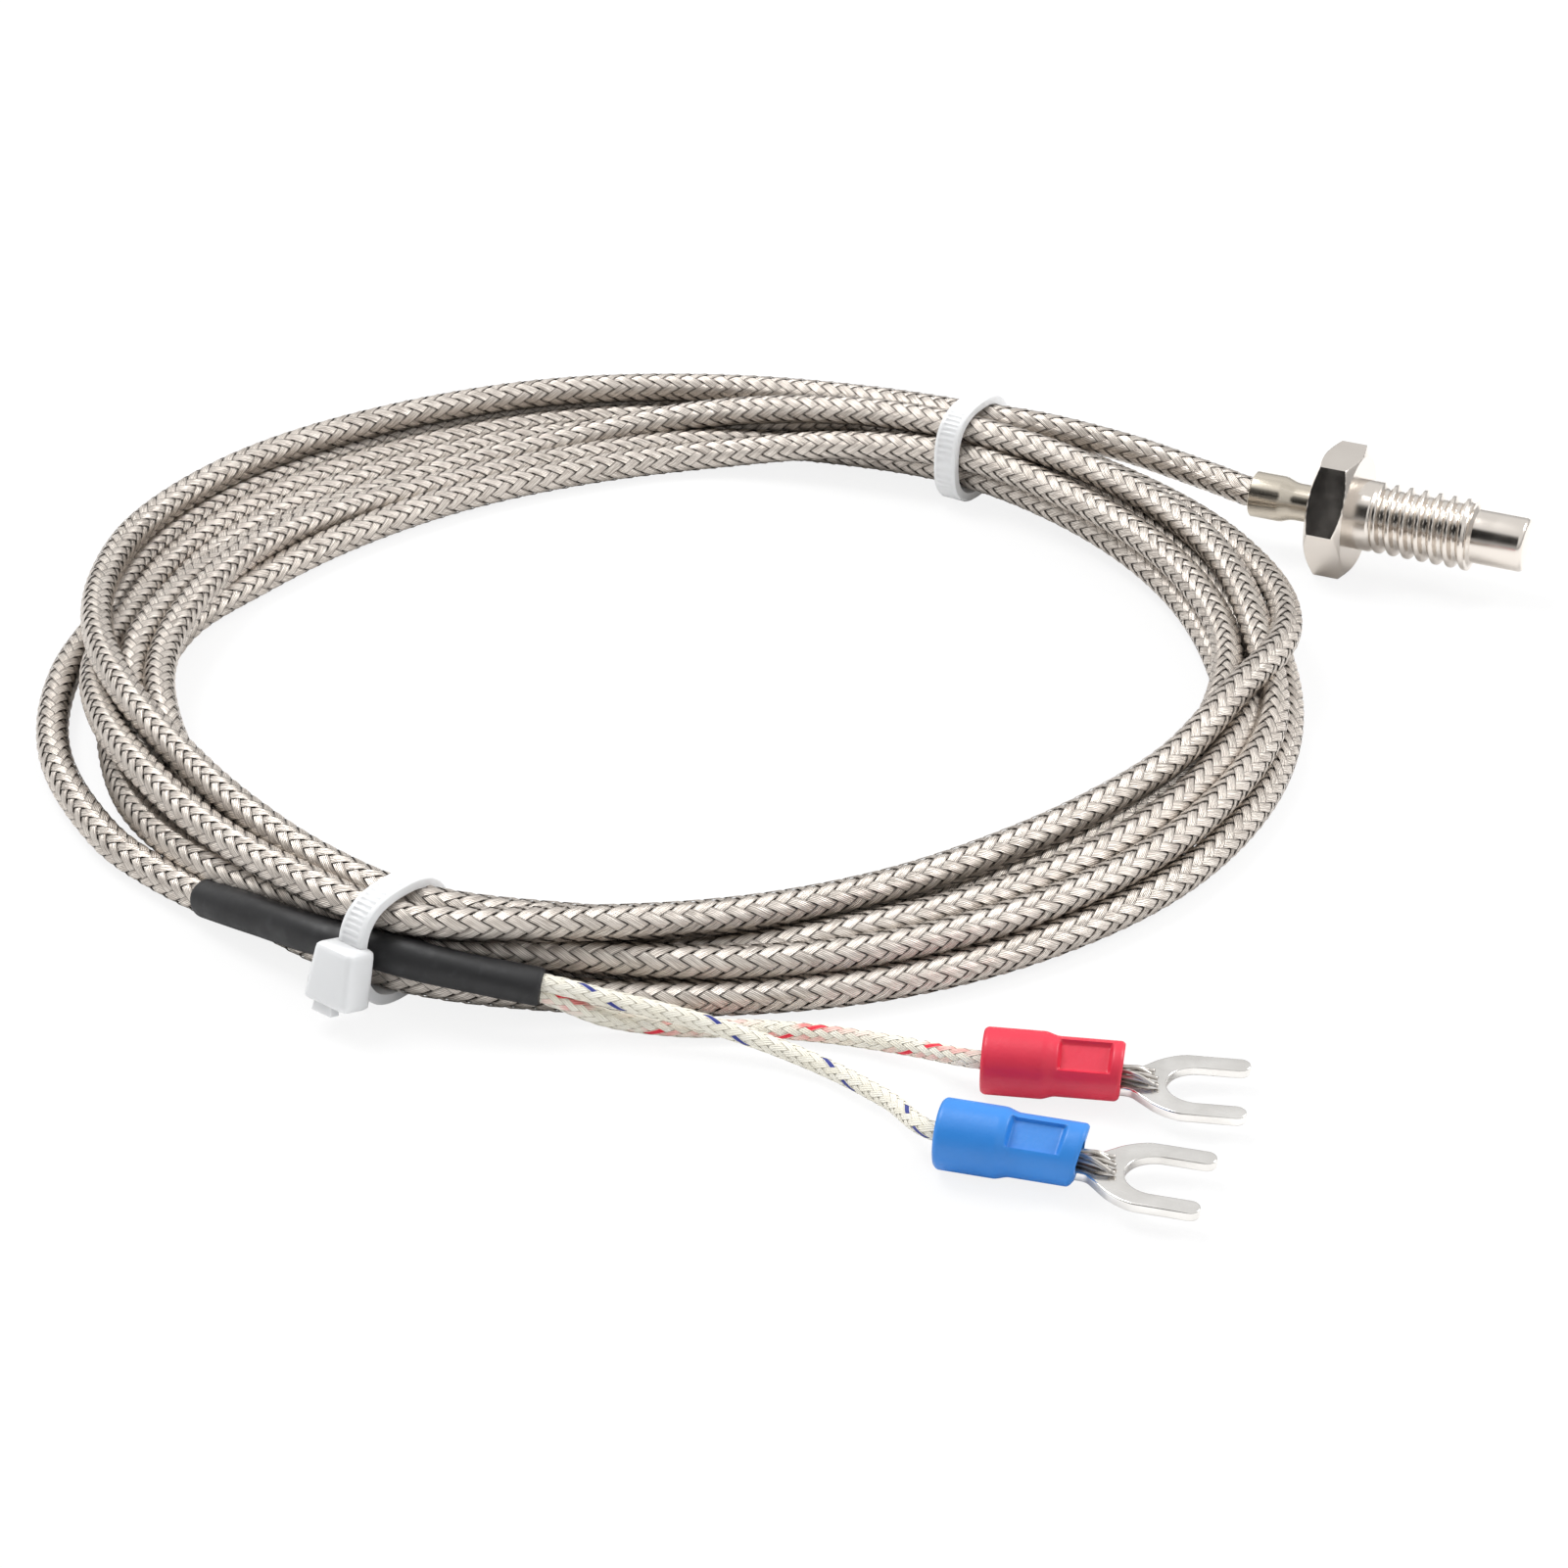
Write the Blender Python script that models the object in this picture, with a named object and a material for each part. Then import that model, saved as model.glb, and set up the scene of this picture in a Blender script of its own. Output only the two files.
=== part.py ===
"""Screw-in thermocouple probe with a coiled, steel-braided cable and two fork terminals.

Units are metres, +Z is up and the part lies on the plane z = 0.
The probe head runs along +X and rests on one flat of its hexagon. The origin is at
the middle of the head's footprint. The cable leaves the sleeve at the head's back end,
runs in a tied coil and ends in a heat-shrunk joint, two leads and two fork terminals.
"""

import math

import bmesh
import bpy
from mathutils import Matrix, Vector

MM = 0.001

# Gaps between neighbours
SEAT_GAP = 0.3 * MM
FIT_CLEARANCE = 0.15 * MM

# Threaded body, turned from hexagonal bar
HEX_ACROSS_FLATS = 10.0 * MM
HEX_LENGTH = 3.2 * MM
HEX_CHAMFER = 0.55 * MM
HEX_FACE_INSET = 0.1 * MM
HEX_CONE_MARGIN = 0.11 * MM
PLAIN_SHANK_LENGTH = 1.5 * MM
THREAD_DIAMETER = 6.0 * MM
THREAD_PITCH = 1.25 * MM
THREAD_DEPTH = 0.5 * MM
THREAD_LENGTH = 8.6 * MM
THREAD_SHARPNESS = 0.62
THREAD_START_ROUND = 0.3 * MM
TIP_DIAMETER = 4.55 * MM
TIP_LENGTH = 4.6 * MM
TIP_ROUND = 0.5 * MM
BORE_DIAMETER = 3.0 * MM
TIP_END_WALL = 0.9 * MM
SOCKET_DEPTH = 2.4 * MM
BODY_SEGMENTS = 36
RINGS_PER_PITCH = 7
ROUND_MIDDLE = 1 - math.cos(math.radians(45))

# Crimped sleeve on the cable end
SLEEVE_MOUTH_DIAMETER = 3.9 * MM
SLEEVE_NECK_DIAMETER = 3.2 * MM
SLEEVE_WALL = 0.3 * MM
SLEEVE_MOUTH_LENGTH = 2.6 * MM
SLEEVE_TAPER_LENGTH = 1.2 * MM
SLEEVE_NECK_LENGTH = 2.2 * MM

# Wires inside the head
WIRE_DIAMETER = 0.7 * MM
WIRE_SPACING = 1.3 * MM
INSULATOR_LENGTH = 7.0 * MM
BEAD_DIAMETER = 1.3 * MM
WIRE_SEGMENTS = 12
BEAD_SEGMENTS = 16

# Cable, leads and heat-shrink
CABLE_DIAMETER = 2.6 * MM
LEAD_DIAMETER = 1.3 * MM
HEAT_SHRINK_START_DIAMETER = 2.9 * MM
HEAT_SHRINK_END_DIAMETER = 2.7 * MM
STEPS_PER_SPAN = 20

# Cable ties
STRAP_WIDTH = 2.1 * MM
STRAP_THICKNESS = 0.75 * MM
FLOOR_GAP = 0.05 * MM
TIE_HEAD_WIDTH = 4.2 * MM
TIE_HEAD_HEIGHT = 4.3 * MM
TIE_HEAD_DEPTH = 2.7 * MM
TIE_HEAD_BEVEL = 0.5 * MM
TIE_HEAD_STANDOFF = 0.25 * MM
TIE_STEPS = 32
TIE_SQUARENESS = 2.8

# Fork terminals
RED_SLEEVE_DIAMETER = 4.6 * MM
BLUE_SLEEVE_DIAMETER = 4.8 * MM
SLEEVE_GRIP_STEP = 0.5 * MM
INSULATION_LENGTH = 9.4 * MM
INSULATION_MOUTH_LENGTH = 4.0 * MM
INSULATION_STEP_LENGTH = 0.9 * MM
INSULATION_MOUTH_BORE = 3.5 * MM
DENT_LENGTH = 3.2 * MM
DENT_WIDTH = 1.9 * MM
DENT_DEPTH = 0.3 * MM
BARREL_DIAMETER = 2.5 * MM
BARREL_BORE = 1.7 * MM
BARREL_START = 4.6 * MM
BARREL_OVERHANG = 0.8 * MM
FORK_THICKNESS = 0.7 * MM
FORK_WIDTH = 7.2 * MM
FORK_SLOT = 4.3 * MM
FORK_NECK_WIDTH = 2.3 * MM
FORK_SHOULDER = 3.0 * MM
FORK_REACH = 8.4 * MM
LEAD_INSERTION = 3.0 * MM
STRAND_DIAMETER = 1.0 * MM
STRAND_REACH = 1.1 * MM
TERMINAL_SEGMENTS = 24
TINE_STEPS = 6

# Where the coil and the terminals lie, from the origin and then from the coil's centre
COIL_CENTRE = (-43.85 * MM, -44.01 * MM)
COIL_TURN = math.radians(25)
RED_TERMINAL_PLACE = (20.9 * MM, -56.9 * MM)
RED_TERMINAL_TURN = math.radians(-8.5)
BLUE_TERMINAL_PLACE = (17.7 * MM, -65.7 * MM)
BLUE_TERMINAL_TURN = math.radians(-16)

# Where each tie sits around the coil, how it is skewed, and where its head is
FRONT_TIE_ANGLE = math.radians(246.1)
FRONT_TIE_SKEW = math.radians(-14.8)
FRONT_TIE_MIDDLE = 48.5 * MM
FRONT_TIE_OPENING = (8.2 * MM, 7.4 * MM)
FRONT_TIE_HEAD_HEIGHT = 4.0 * MM
FRONT_TIE_HEAD_TILT = math.radians(-18)
BACK_TIE_ANGLE = math.radians(57.2)
BACK_TIE_SKEW = 0.0
BACK_TIE_MIDDLE = 44.1 * MM
BACK_TIE_OPENING = (8.5 * MM, 7.8 * MM)
BACK_TIE_HEAD_HEIGHT = 3.4 * MM
BACK_TIE_HEAD_TILT = 0.0

# The coil's outer shape at angles around it, in millimetres from its centre and the floor:
# (angle in degrees, inner radius, outer radius, bottom, top)
COIL_SECTIONS = [
    (0, 41.4, 48.6, 0.3, 6.9),
    (20, 40.8, 49.1, 0.6, 7.1),
    (41, 40.2, 48.2, 1.0, 7.9),
    (57, 40.2, 48.0, 1.2, 8.2),
    (72, 40.0, 50.0, 0.4, 7.2),
    (90, 40.3, 53.5, 0.3, 5.2),
    (105, 38.7, 54.4, 0.3, 5.1),
    (120, 37.9, 54.3, 0.3, 5.1),
    (140, 37.9, 54.1, 0.3, 5.2),
    (155, 39.0, 52.9, 0.3, 5.3),
    (167, 40.1, 50.6, 0.3, 5.9),
    (180, 40.4, 48.4, 0.3, 6.7),
    (195, 40.8, 47.9, 0.3, 7.6),
    (210, 41.3, 47.8, 0.3, 7.8),
    (225, 42.5, 47.0, 0.6, 8.1),
    (236, 43.8, 47.8, 0.6, 8.1),
    (247, 45.3, 48.8, 1.2, 7.7),
    (262, 42.1, 48.8, 0.4, 7.7),
    (276, 40.5, 49.1, 0.3, 6.7),
    (290, 39.8, 49.3, 0.3, 6.3),
    (305, 39.0, 49.3, 0.3, 6.1),
    (318, 39.2, 49.4, 0.3, 6.2),
    (330, 40.1, 49.4, 0.3, 6.4),
    (345, 40.9, 49.1, 0.3, 7.2),
]
COIL_STEPS = 72
COIL_SIDES = 14
COIL_SQUARENESS = 2.5

# Cord routes in the coil's frame: (x, y, z) in millimetres
PROBE_TAIL_ROUTE = [
    (45.2, 28.4, 5.0),
    (42.9, 30.4, 5.1),
    (40.6, 31.9, 5.4),
    (38.5, 33.1, 5.8),
    (36.7, 34.0, 6.1),
]
OUTER_LOOP_ROUTE = [
    (-50.1, -0.6, 1.5),
    (-50.2, -4.5, 1.4),
    (-49.8, -8.8, 1.35),
    (-47.7, -15.8, 1.35),
    (-44.7, -22.4, 1.35),
    (-41.9, -26.9, 1.36),
    (-38.9, -30.3, 1.45),
    (-34.65, -34.55, 1.78),
]
HEAT_SHRINK_ROUTE = [
    (-34.4, -34.8, 1.8),
    (-29.9, -39.2, 2.9),
    (-24.9, -43.6, 3.9),
    (-20.8, -46.2, 4.4),
    (-17.0, -48.0, 4.4),
    (-12.8, -49.1, 4.0),
    (-9.2, -49.7, 3.5),
]
BLUE_LEAD_ROUTE = [
    (-8.7, -49.6, 3.9),
    (-4.7, -50.5, 3.1),
    (0.0, -51.4, 2.3),
    (5.6, -53.1, 1.0),
    (10.6, -56.3, 0.75),
    (14.0, -60.3, 1.0),
    (16.0, -63.6, 2.0),
]
RED_LEAD_ROUTE = [
    (-8.7, -49.7, 2.4),
    (-4.8, -50.4, 1.3),
    (0.2, -50.9, 0.75),
    (5.6, -51.0, 0.75),
    (10.9, -51.6, 0.75),
    (15.6, -53.7, 1.1),
    (18.8, -56.0, 2.0),
]

# Places along the head that follow from its sizes
HEAD_LENGTH = (
    SLEEVE_MOUTH_LENGTH
    + SLEEVE_TAPER_LENGTH
    + SLEEVE_NECK_LENGTH
    + HEX_LENGTH
    + PLAIN_SHANK_LENGTH
    + THREAD_LENGTH
    + TIP_LENGTH
)
AXIS_HEIGHT = HEX_ACROSS_FLATS / 2
SLEEVE_MOUTH_X = -HEAD_LENGTH / 2
HEX_BACK_X = SLEEVE_MOUTH_X + SLEEVE_MOUTH_LENGTH + SLEEVE_TAPER_LENGTH + SLEEVE_NECK_LENGTH
HEX_FRONT_X = HEX_BACK_X + HEX_LENGTH
THREAD_START_X = HEX_FRONT_X + PLAIN_SHANK_LENGTH
THREAD_END_X = THREAD_START_X + THREAD_LENGTH
TIP_END_X = THREAD_END_X + TIP_LENGTH
BORE_END_X = TIP_END_X - TIP_END_WALL
SOCKET_DIAMETER = SLEEVE_NECK_DIAMETER + 2 * FIT_CLEARANCE
CABLE_INSERTION = SLEEVE_MOUTH_LENGTH - SEAT_GAP
BEAD_X = BORE_END_X - SEAT_GAP - BEAD_DIAMETER / 2
WIRE_END_X = BEAD_X - BEAD_DIAMETER / 2 - SEAT_GAP
WIRE_START_X = SLEEVE_MOUTH_X + CABLE_INSERTION + SEAT_GAP


def clear_scene():
    """Empty the file that the script starts in."""
    for thing in list(bpy.data.objects):
        bpy.data.objects.remove(thing)


def make_material(name, colour, roughness, metallic):
    """A plain material with the piece's colour, roughness and metallic value."""
    material = bpy.data.materials.new(name)
    material.use_nodes = True
    shader = material.node_tree.nodes["Principled BSDF"]
    shader.inputs["Base Color"].default_value = (*colour, 1.0)
    shader.inputs["Roughness"].default_value = roughness
    shader.inputs["Metallic"].default_value = metallic
    return material


def make_empty(name, place, turn):
    """A frame that pieces are parented to, turned about the vertical."""
    empty = bpy.data.objects.new(name, None)
    empty.location = (place[0], place[1], 0.0)
    empty.rotation_euler = (0.0, 0.0, turn)
    bpy.context.collection.objects.link(empty)
    return empty


def add_mesh(name, mesh_data, material, parent=None, location=(0.0, 0.0, 0.0)):
    """Turn a bmesh into a smooth-shaded object with its faces pointing out."""
    bmesh.ops.recalc_face_normals(mesh_data, faces=mesh_data.faces)
    mesh = bpy.data.meshes.new(name)
    mesh_data.to_mesh(mesh)
    mesh_data.free()
    mesh.shade_smooth()
    mesh.set_sharp_from_angle(angle=math.radians(35))
    mesh.materials.append(material)
    thing = bpy.data.objects.new(name, mesh)
    thing.parent = parent
    thing.location = location
    bpy.context.collection.objects.link(thing)
    return thing


def lathe_along_x(stations, segments):
    """A closed body from rings around X.

    Each station is (x, radius), where the radius is a number or a function of the
    angle. A radius of zero closes that end in a point, and stations that end where
    they start, with no zero, make a tube.
    """
    data = bmesh.new()
    rings = []
    for x, radius in stations:
        if radius == 0.0:
            rings.append([data.verts.new((x, 0.0, 0.0))])
            continue
        ring = []
        for step in range(segments):
            angle = 2 * math.pi * step / segments
            reach = radius(angle) if callable(radius) else radius
            ring.append(data.verts.new((x, reach * math.cos(angle), reach * math.sin(angle))))
        rings.append(ring)
    pairs = list(zip(rings, rings[1:]))
    if all(len(ring) > 1 for ring in rings):
        pairs.append((rings[-1], rings[0]))
    for first, second in pairs:
        for step in range(segments):
            after = (step + 1) % segments
            if len(first) == 1:
                data.faces.new((first[0], second[after], second[step]))
            elif len(second) == 1:
                data.faces.new((first[step], first[after], second[0]))
            else:
                data.faces.new((first[step], first[after], second[after], second[step]))
    return data


def hexagon_radius(angle):
    """Distance from the axis to a hexagon with a flat facing down and one up."""
    sixth = math.pi / 3
    from_flat = (angle % sixth) - sixth / 2
    return HEX_ACROSS_FLATS / 2 / math.cos(from_flat)


def chamfered_hexagon(cone_radius):
    """The hexagon cut back by a cone that has the given radius here."""
    return lambda angle: min(hexagon_radius(angle), cone_radius)


def thread_radius(x):
    """Radius around the thread at one place along it, as a function of the angle."""
    run_in = min(1.0, (x - THREAD_START_X) / (THREAD_PITCH / 2))
    run_out = min(1.0, (THREAD_END_X - x) / (THREAD_PITCH / 2))
    fade = max(0.0, min(run_in, run_out))

    def radius(angle):
        phase = ((x - THREAD_START_X) / THREAD_PITCH - angle / (2 * math.pi)) % 1.0
        wave = 0.5 - THREAD_SHARPNESS * math.cos(2 * math.pi * phase)
        groove = THREAD_DEPTH * min(1.0, max(0.0, wave))
        return THREAD_DIAMETER / 2 - fade * groove

    return radius


def make_threaded_body(material):
    """Hexagon, thread and dog point turned in one piece, with a blind bore."""
    corner = hexagon_radius(0.0) + HEX_CONE_MARGIN
    cut = HEX_ACROSS_FLATS / 2 - HEX_FACE_INSET
    bore = BORE_DIAMETER / 2
    socket = SOCKET_DIAMETER / 2
    socket_end = HEX_BACK_X + SOCKET_DEPTH
    stations = [
        (BORE_END_X, 0.0),
        (BORE_END_X, bore),
        (socket_end, bore),
        (socket_end, socket),
        (HEX_BACK_X, socket),
        (HEX_BACK_X, cut),
        (HEX_BACK_X + HEX_CHAMFER, chamfered_hexagon(corner)),
        (HEX_FRONT_X - HEX_CHAMFER, chamfered_hexagon(corner)),
        (HEX_FRONT_X, cut),
        (HEX_FRONT_X, THREAD_DIAMETER / 2),
        (THREAD_START_X, THREAD_DIAMETER / 2),
    ]
    steps = round(THREAD_LENGTH / THREAD_PITCH * RINGS_PER_PITCH)
    for step in range(1, steps):
        x = THREAD_START_X + THREAD_LENGTH * step / steps
        stations.append((x, thread_radius(x)))
    root = THREAD_DIAMETER / 2 - THREAD_DEPTH
    tip = min(TIP_DIAMETER / 2, root)
    stations += [
        (THREAD_END_X, root),
        (THREAD_END_X + THREAD_START_ROUND, tip),
        (TIP_END_X - TIP_ROUND, tip),
        (TIP_END_X - TIP_ROUND * ROUND_MIDDLE, tip - TIP_ROUND * ROUND_MIDDLE),
        (TIP_END_X, tip - TIP_ROUND),
        (TIP_END_X, 0.0),
    ]
    data = lathe_along_x(stations, BODY_SEGMENTS)
    return add_mesh("threaded_body", data, material, location=(0.0, 0.0, AXIS_HEIGHT))


def make_crimp_sleeve(material):
    """Thin tube, wide over the braid and crimped to a neck that enters the body."""
    mouth = SLEEVE_MOUTH_DIAMETER / 2
    neck = SLEEVE_NECK_DIAMETER / 2
    taper_start = SLEEVE_MOUTH_X + SLEEVE_MOUTH_LENGTH
    taper_end = taper_start + SLEEVE_TAPER_LENGTH
    neck_end = HEX_BACK_X + SOCKET_DEPTH - SEAT_GAP
    outer = [
        (SLEEVE_MOUTH_X, mouth),
        (taper_start, mouth),
        (taper_end, neck),
        (neck_end, neck),
    ]
    inner = [(x, radius - SLEEVE_WALL) for x, radius in reversed(outer)]
    data = lathe_along_x(outer + inner, BODY_SEGMENTS)
    return add_mesh("crimp_sleeve", data, material, location=(0.0, 0.0, AXIS_HEIGHT))


def make_head_wire(name, side, material):
    """One straight wire from the cable's end to the welded bead."""
    radius = WIRE_DIAMETER / 2
    stations = [
        (WIRE_START_X, 0.0),
        (WIRE_START_X, radius),
        (WIRE_END_X, radius),
        (WIRE_END_X, 0.0),
    ]
    data = lathe_along_x(stations, WIRE_SEGMENTS)
    place = (0.0, side * WIRE_SPACING / 2, AXIS_HEIGHT)
    return add_mesh(name, data, material, location=place)


def make_junction_bead(material):
    """The bead where the two wires are welded, just behind the tip's end wall."""
    data = bmesh.new()
    radius = BEAD_DIAMETER / 2
    bmesh.ops.create_uvsphere(
        data, u_segments=BEAD_SEGMENTS, v_segments=BEAD_SEGMENTS // 2, radius=radius
    )
    return add_mesh("junction_bead", data, material, location=(BEAD_X, 0.0, AXIS_HEIGHT))


def make_insulator(material):
    """Ceramic rod with two bores that keeps the wires apart in the threaded body."""
    end = WIRE_END_X - SEAT_GAP
    start = end - INSULATOR_LENGTH
    radius = BORE_DIAMETER / 2 - FIT_CLEARANCE
    stations = [(start, 0.0), (start, radius), (end, radius), (end, 0.0)]
    data = lathe_along_x(stations, BODY_SEGMENTS)
    rod = add_mesh("twin_bore_insulator", data, material, location=(0.0, 0.0, AXIS_HEIGHT))
    hole = WIRE_DIAMETER / 2 + FIT_CLEARANCE
    past = SEAT_GAP
    for side in (-1, 1):
        profile = [(start - past, 0.0), (start - past, hole), (end + past, hole), (end + past, 0.0)]
        place = (0.0, side * WIRE_SPACING / 2, AXIS_HEIGHT)
        drill_data = lathe_along_x(profile, WIRE_SEGMENTS)
        drill = add_mesh("insulator_drill", drill_data, material, location=place)
        cut_with(rod, drill, "DIFFERENCE")
    return rod


def cut_with(thing, tool, operation):
    """Apply a Boolean to a piece with a tool that is then hidden as a guide."""
    tool.hide_render = True
    tool.display_type = "WIRE"
    modifier = thing.modifiers.new(operation.lower(), "BOOLEAN")
    modifier.operation = operation
    modifier.object = tool
    modifier.solver = "EXACT"


def catmull_rom(points, share, index):
    """A point between points[index] and the next on a smooth curve through them all."""
    before = points[max(index - 1, 0)]
    start = points[index]
    end = points[index + 1]
    after = points[min(index + 2, len(points) - 1)]
    leave = (end - before) / 2
    arrive = (after - start) / 2
    square = share * share
    cube = square * share
    return (
        start * (2 * cube - 3 * square + 1)
        + leave * (cube - 2 * square + share)
        + end * (3 * square - 2 * cube)
        + arrive * (cube - square)
    )


def smooth_route(points, spacing):
    """Read points about one spacing apart from a smooth curve through the route."""
    places = [Vector(point) for point in points]
    fine = []
    for index in range(len(places) - 1):
        shares = [step / STEPS_PER_SPAN for step in range(STEPS_PER_SPAN)]
        fine += [catmull_rom(places, share, index) for share in shares]
    fine.append(places[-1])
    lengths = [(b - a).length for a, b in zip(fine, fine[1:])]
    total = sum(lengths)
    count = max(2, round(total / spacing))
    route = [fine[0]]
    walked = 0.0
    for place, length in zip(fine[1:], lengths):
        walked += length
        if len(route) < count and walked >= total * len(route) / count:
            route.append(place)
    route.append(fine[-1])
    return route


def make_tube(name, route, radii, material, parent, resolution=2):
    """A capped tube along a route, its radius running evenly from first to last."""
    curve = bpy.data.curves.new(name, "CURVE")
    curve.dimensions = "3D"
    curve.bevel_depth = 1.0
    curve.bevel_resolution = resolution
    curve.use_fill_caps = True
    curve.resolution_u = 1
    spline = curve.splines.new("POLY")
    spline.points.add(len(route) - 1)
    for index, place in enumerate(route):
        share = index / (len(route) - 1)
        spline.points[index].co = (*place, 1.0)
        spline.points[index].radius = radii[0] + (radii[1] - radii[0]) * share
    spline.use_smooth = True
    curve.materials.append(material)
    tube = bpy.data.objects.new(name, curve)
    tube.parent = parent
    bpy.context.collection.objects.link(tube)
    return tube


def in_metres(points):
    """Route points from millimetres."""
    return [Vector(point) * MM for point in points]


def section_value(column, angle):
    """One column of the coil's sections at any angle, on a smooth closed curve."""
    rows = COIL_SECTIONS
    count = len(rows)
    angle = angle % 360
    index = max(i for i in range(count) if rows[i][0] <= angle)

    def row_at(place):
        turns, inside = divmod(place, count)
        return rows[inside][0] + 360 * turns, rows[inside][column]

    before, start, end, after = (row_at(index + shift) for shift in (-1, 0, 1, 2))
    span = end[0] - start[0]
    share = (angle - start[0]) / span
    leave = (end[1] - before[1]) / (end[0] - before[0]) * span
    arrive = (after[1] - start[1]) / (after[0] - start[0]) * span
    square = share * share
    cube = square * share
    return (
        start[1] * (2 * cube - 3 * square + 1)
        + leave * (cube - 2 * square + share)
        + end[1] * (3 * square - 2 * cube)
        + arrive * (cube - square)
    )


def rounded_outline(half_width, half_height, sides, squareness):
    """A closed outline between an ellipse and a rectangle, counted around it."""
    outline = []
    for side in range(sides):
        angle = 2 * math.pi * side / sides
        across = math.cos(angle)
        up = math.sin(angle)
        outline.append(
            (
                half_width * math.copysign(abs(across) ** (2 / squareness), across),
                half_height * math.copysign(abs(up) ** (2 / squareness), up),
            )
        )
    return outline


def join_rings(data, rings):
    """Faces between each ring and the next, and from the last back to the first."""
    for first, second in zip(rings, rings[1:] + rings[:1]):
        for side in range(len(first)):
            after = (side + 1) % len(first)
            data.faces.new((first[side], first[after], second[after], second[side]))


def make_coil(material, parent):
    """The bundle of turns as one closed ring with the bundle's own outer shape."""
    data = bmesh.new()
    rings = []
    for step in range(COIL_STEPS):
        degrees = 360 * step / COIL_STEPS
        inner, outer, bottom, top = (section_value(column, degrees) * MM for column in (1, 2, 3, 4))
        middle = (inner + outer) / 2
        height = (bottom + top) / 2
        outline = rounded_outline(
            (outer - inner) / 2, (top - bottom) / 2, COIL_SIDES, COIL_SQUARENESS
        )
        angle = math.radians(degrees)
        ring = []
        for across, up in outline:
            reach = middle + across
            ring.append(
                data.verts.new((reach * math.cos(angle), reach * math.sin(angle), height + up))
            )
        rings.append(ring)
    join_rings(data, rings)
    return add_mesh("cable_coil", data, material, parent)


def sleeve_mouth_in_coil_frame():
    """The sleeve's mouth and the head's axis direction, seen from the coil's centre."""
    turn = Matrix.Rotation(-COIL_TURN, 3, "Z")
    mouth = Vector((SLEEVE_MOUTH_X, 0.0, AXIS_HEIGHT)) - Vector((*COIL_CENTRE, 0.0))
    return turn @ mouth, turn @ Vector((1.0, 0.0, 0.0))


def make_probe_tail(material, parent):
    """The cable from inside the sleeve to where it joins the coil."""
    mouth, axis = sleeve_mouth_in_coil_frame()
    start = [mouth + axis * CABLE_INSERTION, mouth]
    route = smooth_route(start + in_metres(PROBE_TAIL_ROUTE), CABLE_DIAMETER)
    radius = CABLE_DIAMETER / 2
    return make_tube("probe_tail_cable", route, (radius, radius), material, parent)


def make_outer_loop(material, parent):
    """The cable's last stretch, which leaves the coil and ends in the heat-shrink."""
    route = smooth_route(in_metres(OUTER_LOOP_ROUTE), 2 * CABLE_DIAMETER)
    radius = CABLE_DIAMETER / 2
    return make_tube("outer_loop_cable", route, (radius, radius), material, parent)


def make_heat_shrink(material, parent):
    """The shrunk tube over the joint between the cable and the two leads."""
    route = smooth_route(in_metres(HEAT_SHRINK_ROUTE), CABLE_DIAMETER)
    radii = (HEAT_SHRINK_START_DIAMETER / 2, HEAT_SHRINK_END_DIAMETER / 2)
    return make_tube("heat_shrink_tube", route, radii, material, parent, resolution=3)


def make_lead(name, points, place, turn, axis_height, material, parent):
    """One insulated lead, from the heat-shrink into the mouth of its terminal."""
    along = Vector((math.cos(turn), math.sin(turn), 0.0))
    mouth = Vector((place[0], place[1], axis_height))
    ending = [mouth, mouth + along * LEAD_INSERTION]
    route = smooth_route(in_metres(points) + ending, 2 * LEAD_DIAMETER)
    radius = LEAD_DIAMETER / 2
    return make_tube(name, route, (radius, radius), material, parent)


def make_insulating_sleeve(name, diameter, material, frame):
    """Vinyl sleeve of a terminal: a wide mouth for the lead and a crimped grip."""
    mouth = diameter / 2
    grip = mouth - SLEEVE_GRIP_STEP / 2
    mouth_bore = INSULATION_MOUTH_BORE / 2
    grip_bore = BARREL_DIAMETER / 2 + FIT_CLEARANCE
    step_end = INSULATION_MOUTH_LENGTH + INSULATION_STEP_LENGTH
    stations = [
        (0.0, mouth),
        (INSULATION_MOUTH_LENGTH, mouth),
        (step_end, grip),
        (INSULATION_LENGTH, grip),
        (INSULATION_LENGTH, grip_bore),
        (BARREL_START - SEAT_GAP, grip_bore),
        (BARREL_START - SEAT_GAP - INSULATION_STEP_LENGTH, mouth_bore),
        (0.0, mouth_bore),
    ]
    data = lathe_along_x(stations, TERMINAL_SEGMENTS)
    sleeve = add_mesh(name, data, material, frame, (0.0, 0.0, mouth))
    dent_middle = (step_end + INSULATION_LENGTH) / 2
    cutter = bmesh.new()
    bmesh.ops.create_cube(cutter, size=1.0)
    bmesh.ops.scale(cutter, vec=(DENT_LENGTH, DENT_WIDTH, 2 * DENT_DEPTH), verts=cutter.verts)
    place = (dent_middle, 0.0, mouth + grip)
    tool = add_mesh(name + "_dent_cutter", cutter, material, frame, place)
    cut_with(sleeve, tool, "DIFFERENCE")
    return sleeve


def arc(centre, radius, start, end, steps):
    """Points on an arc about a centre, angles in degrees."""
    points = []
    for step in range(steps + 1):
        angle = math.radians(start + (end - start) * step / steps)
        points.append((centre[0] + radius * math.cos(angle), centre[1] + radius * math.sin(angle)))
    return points


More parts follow.
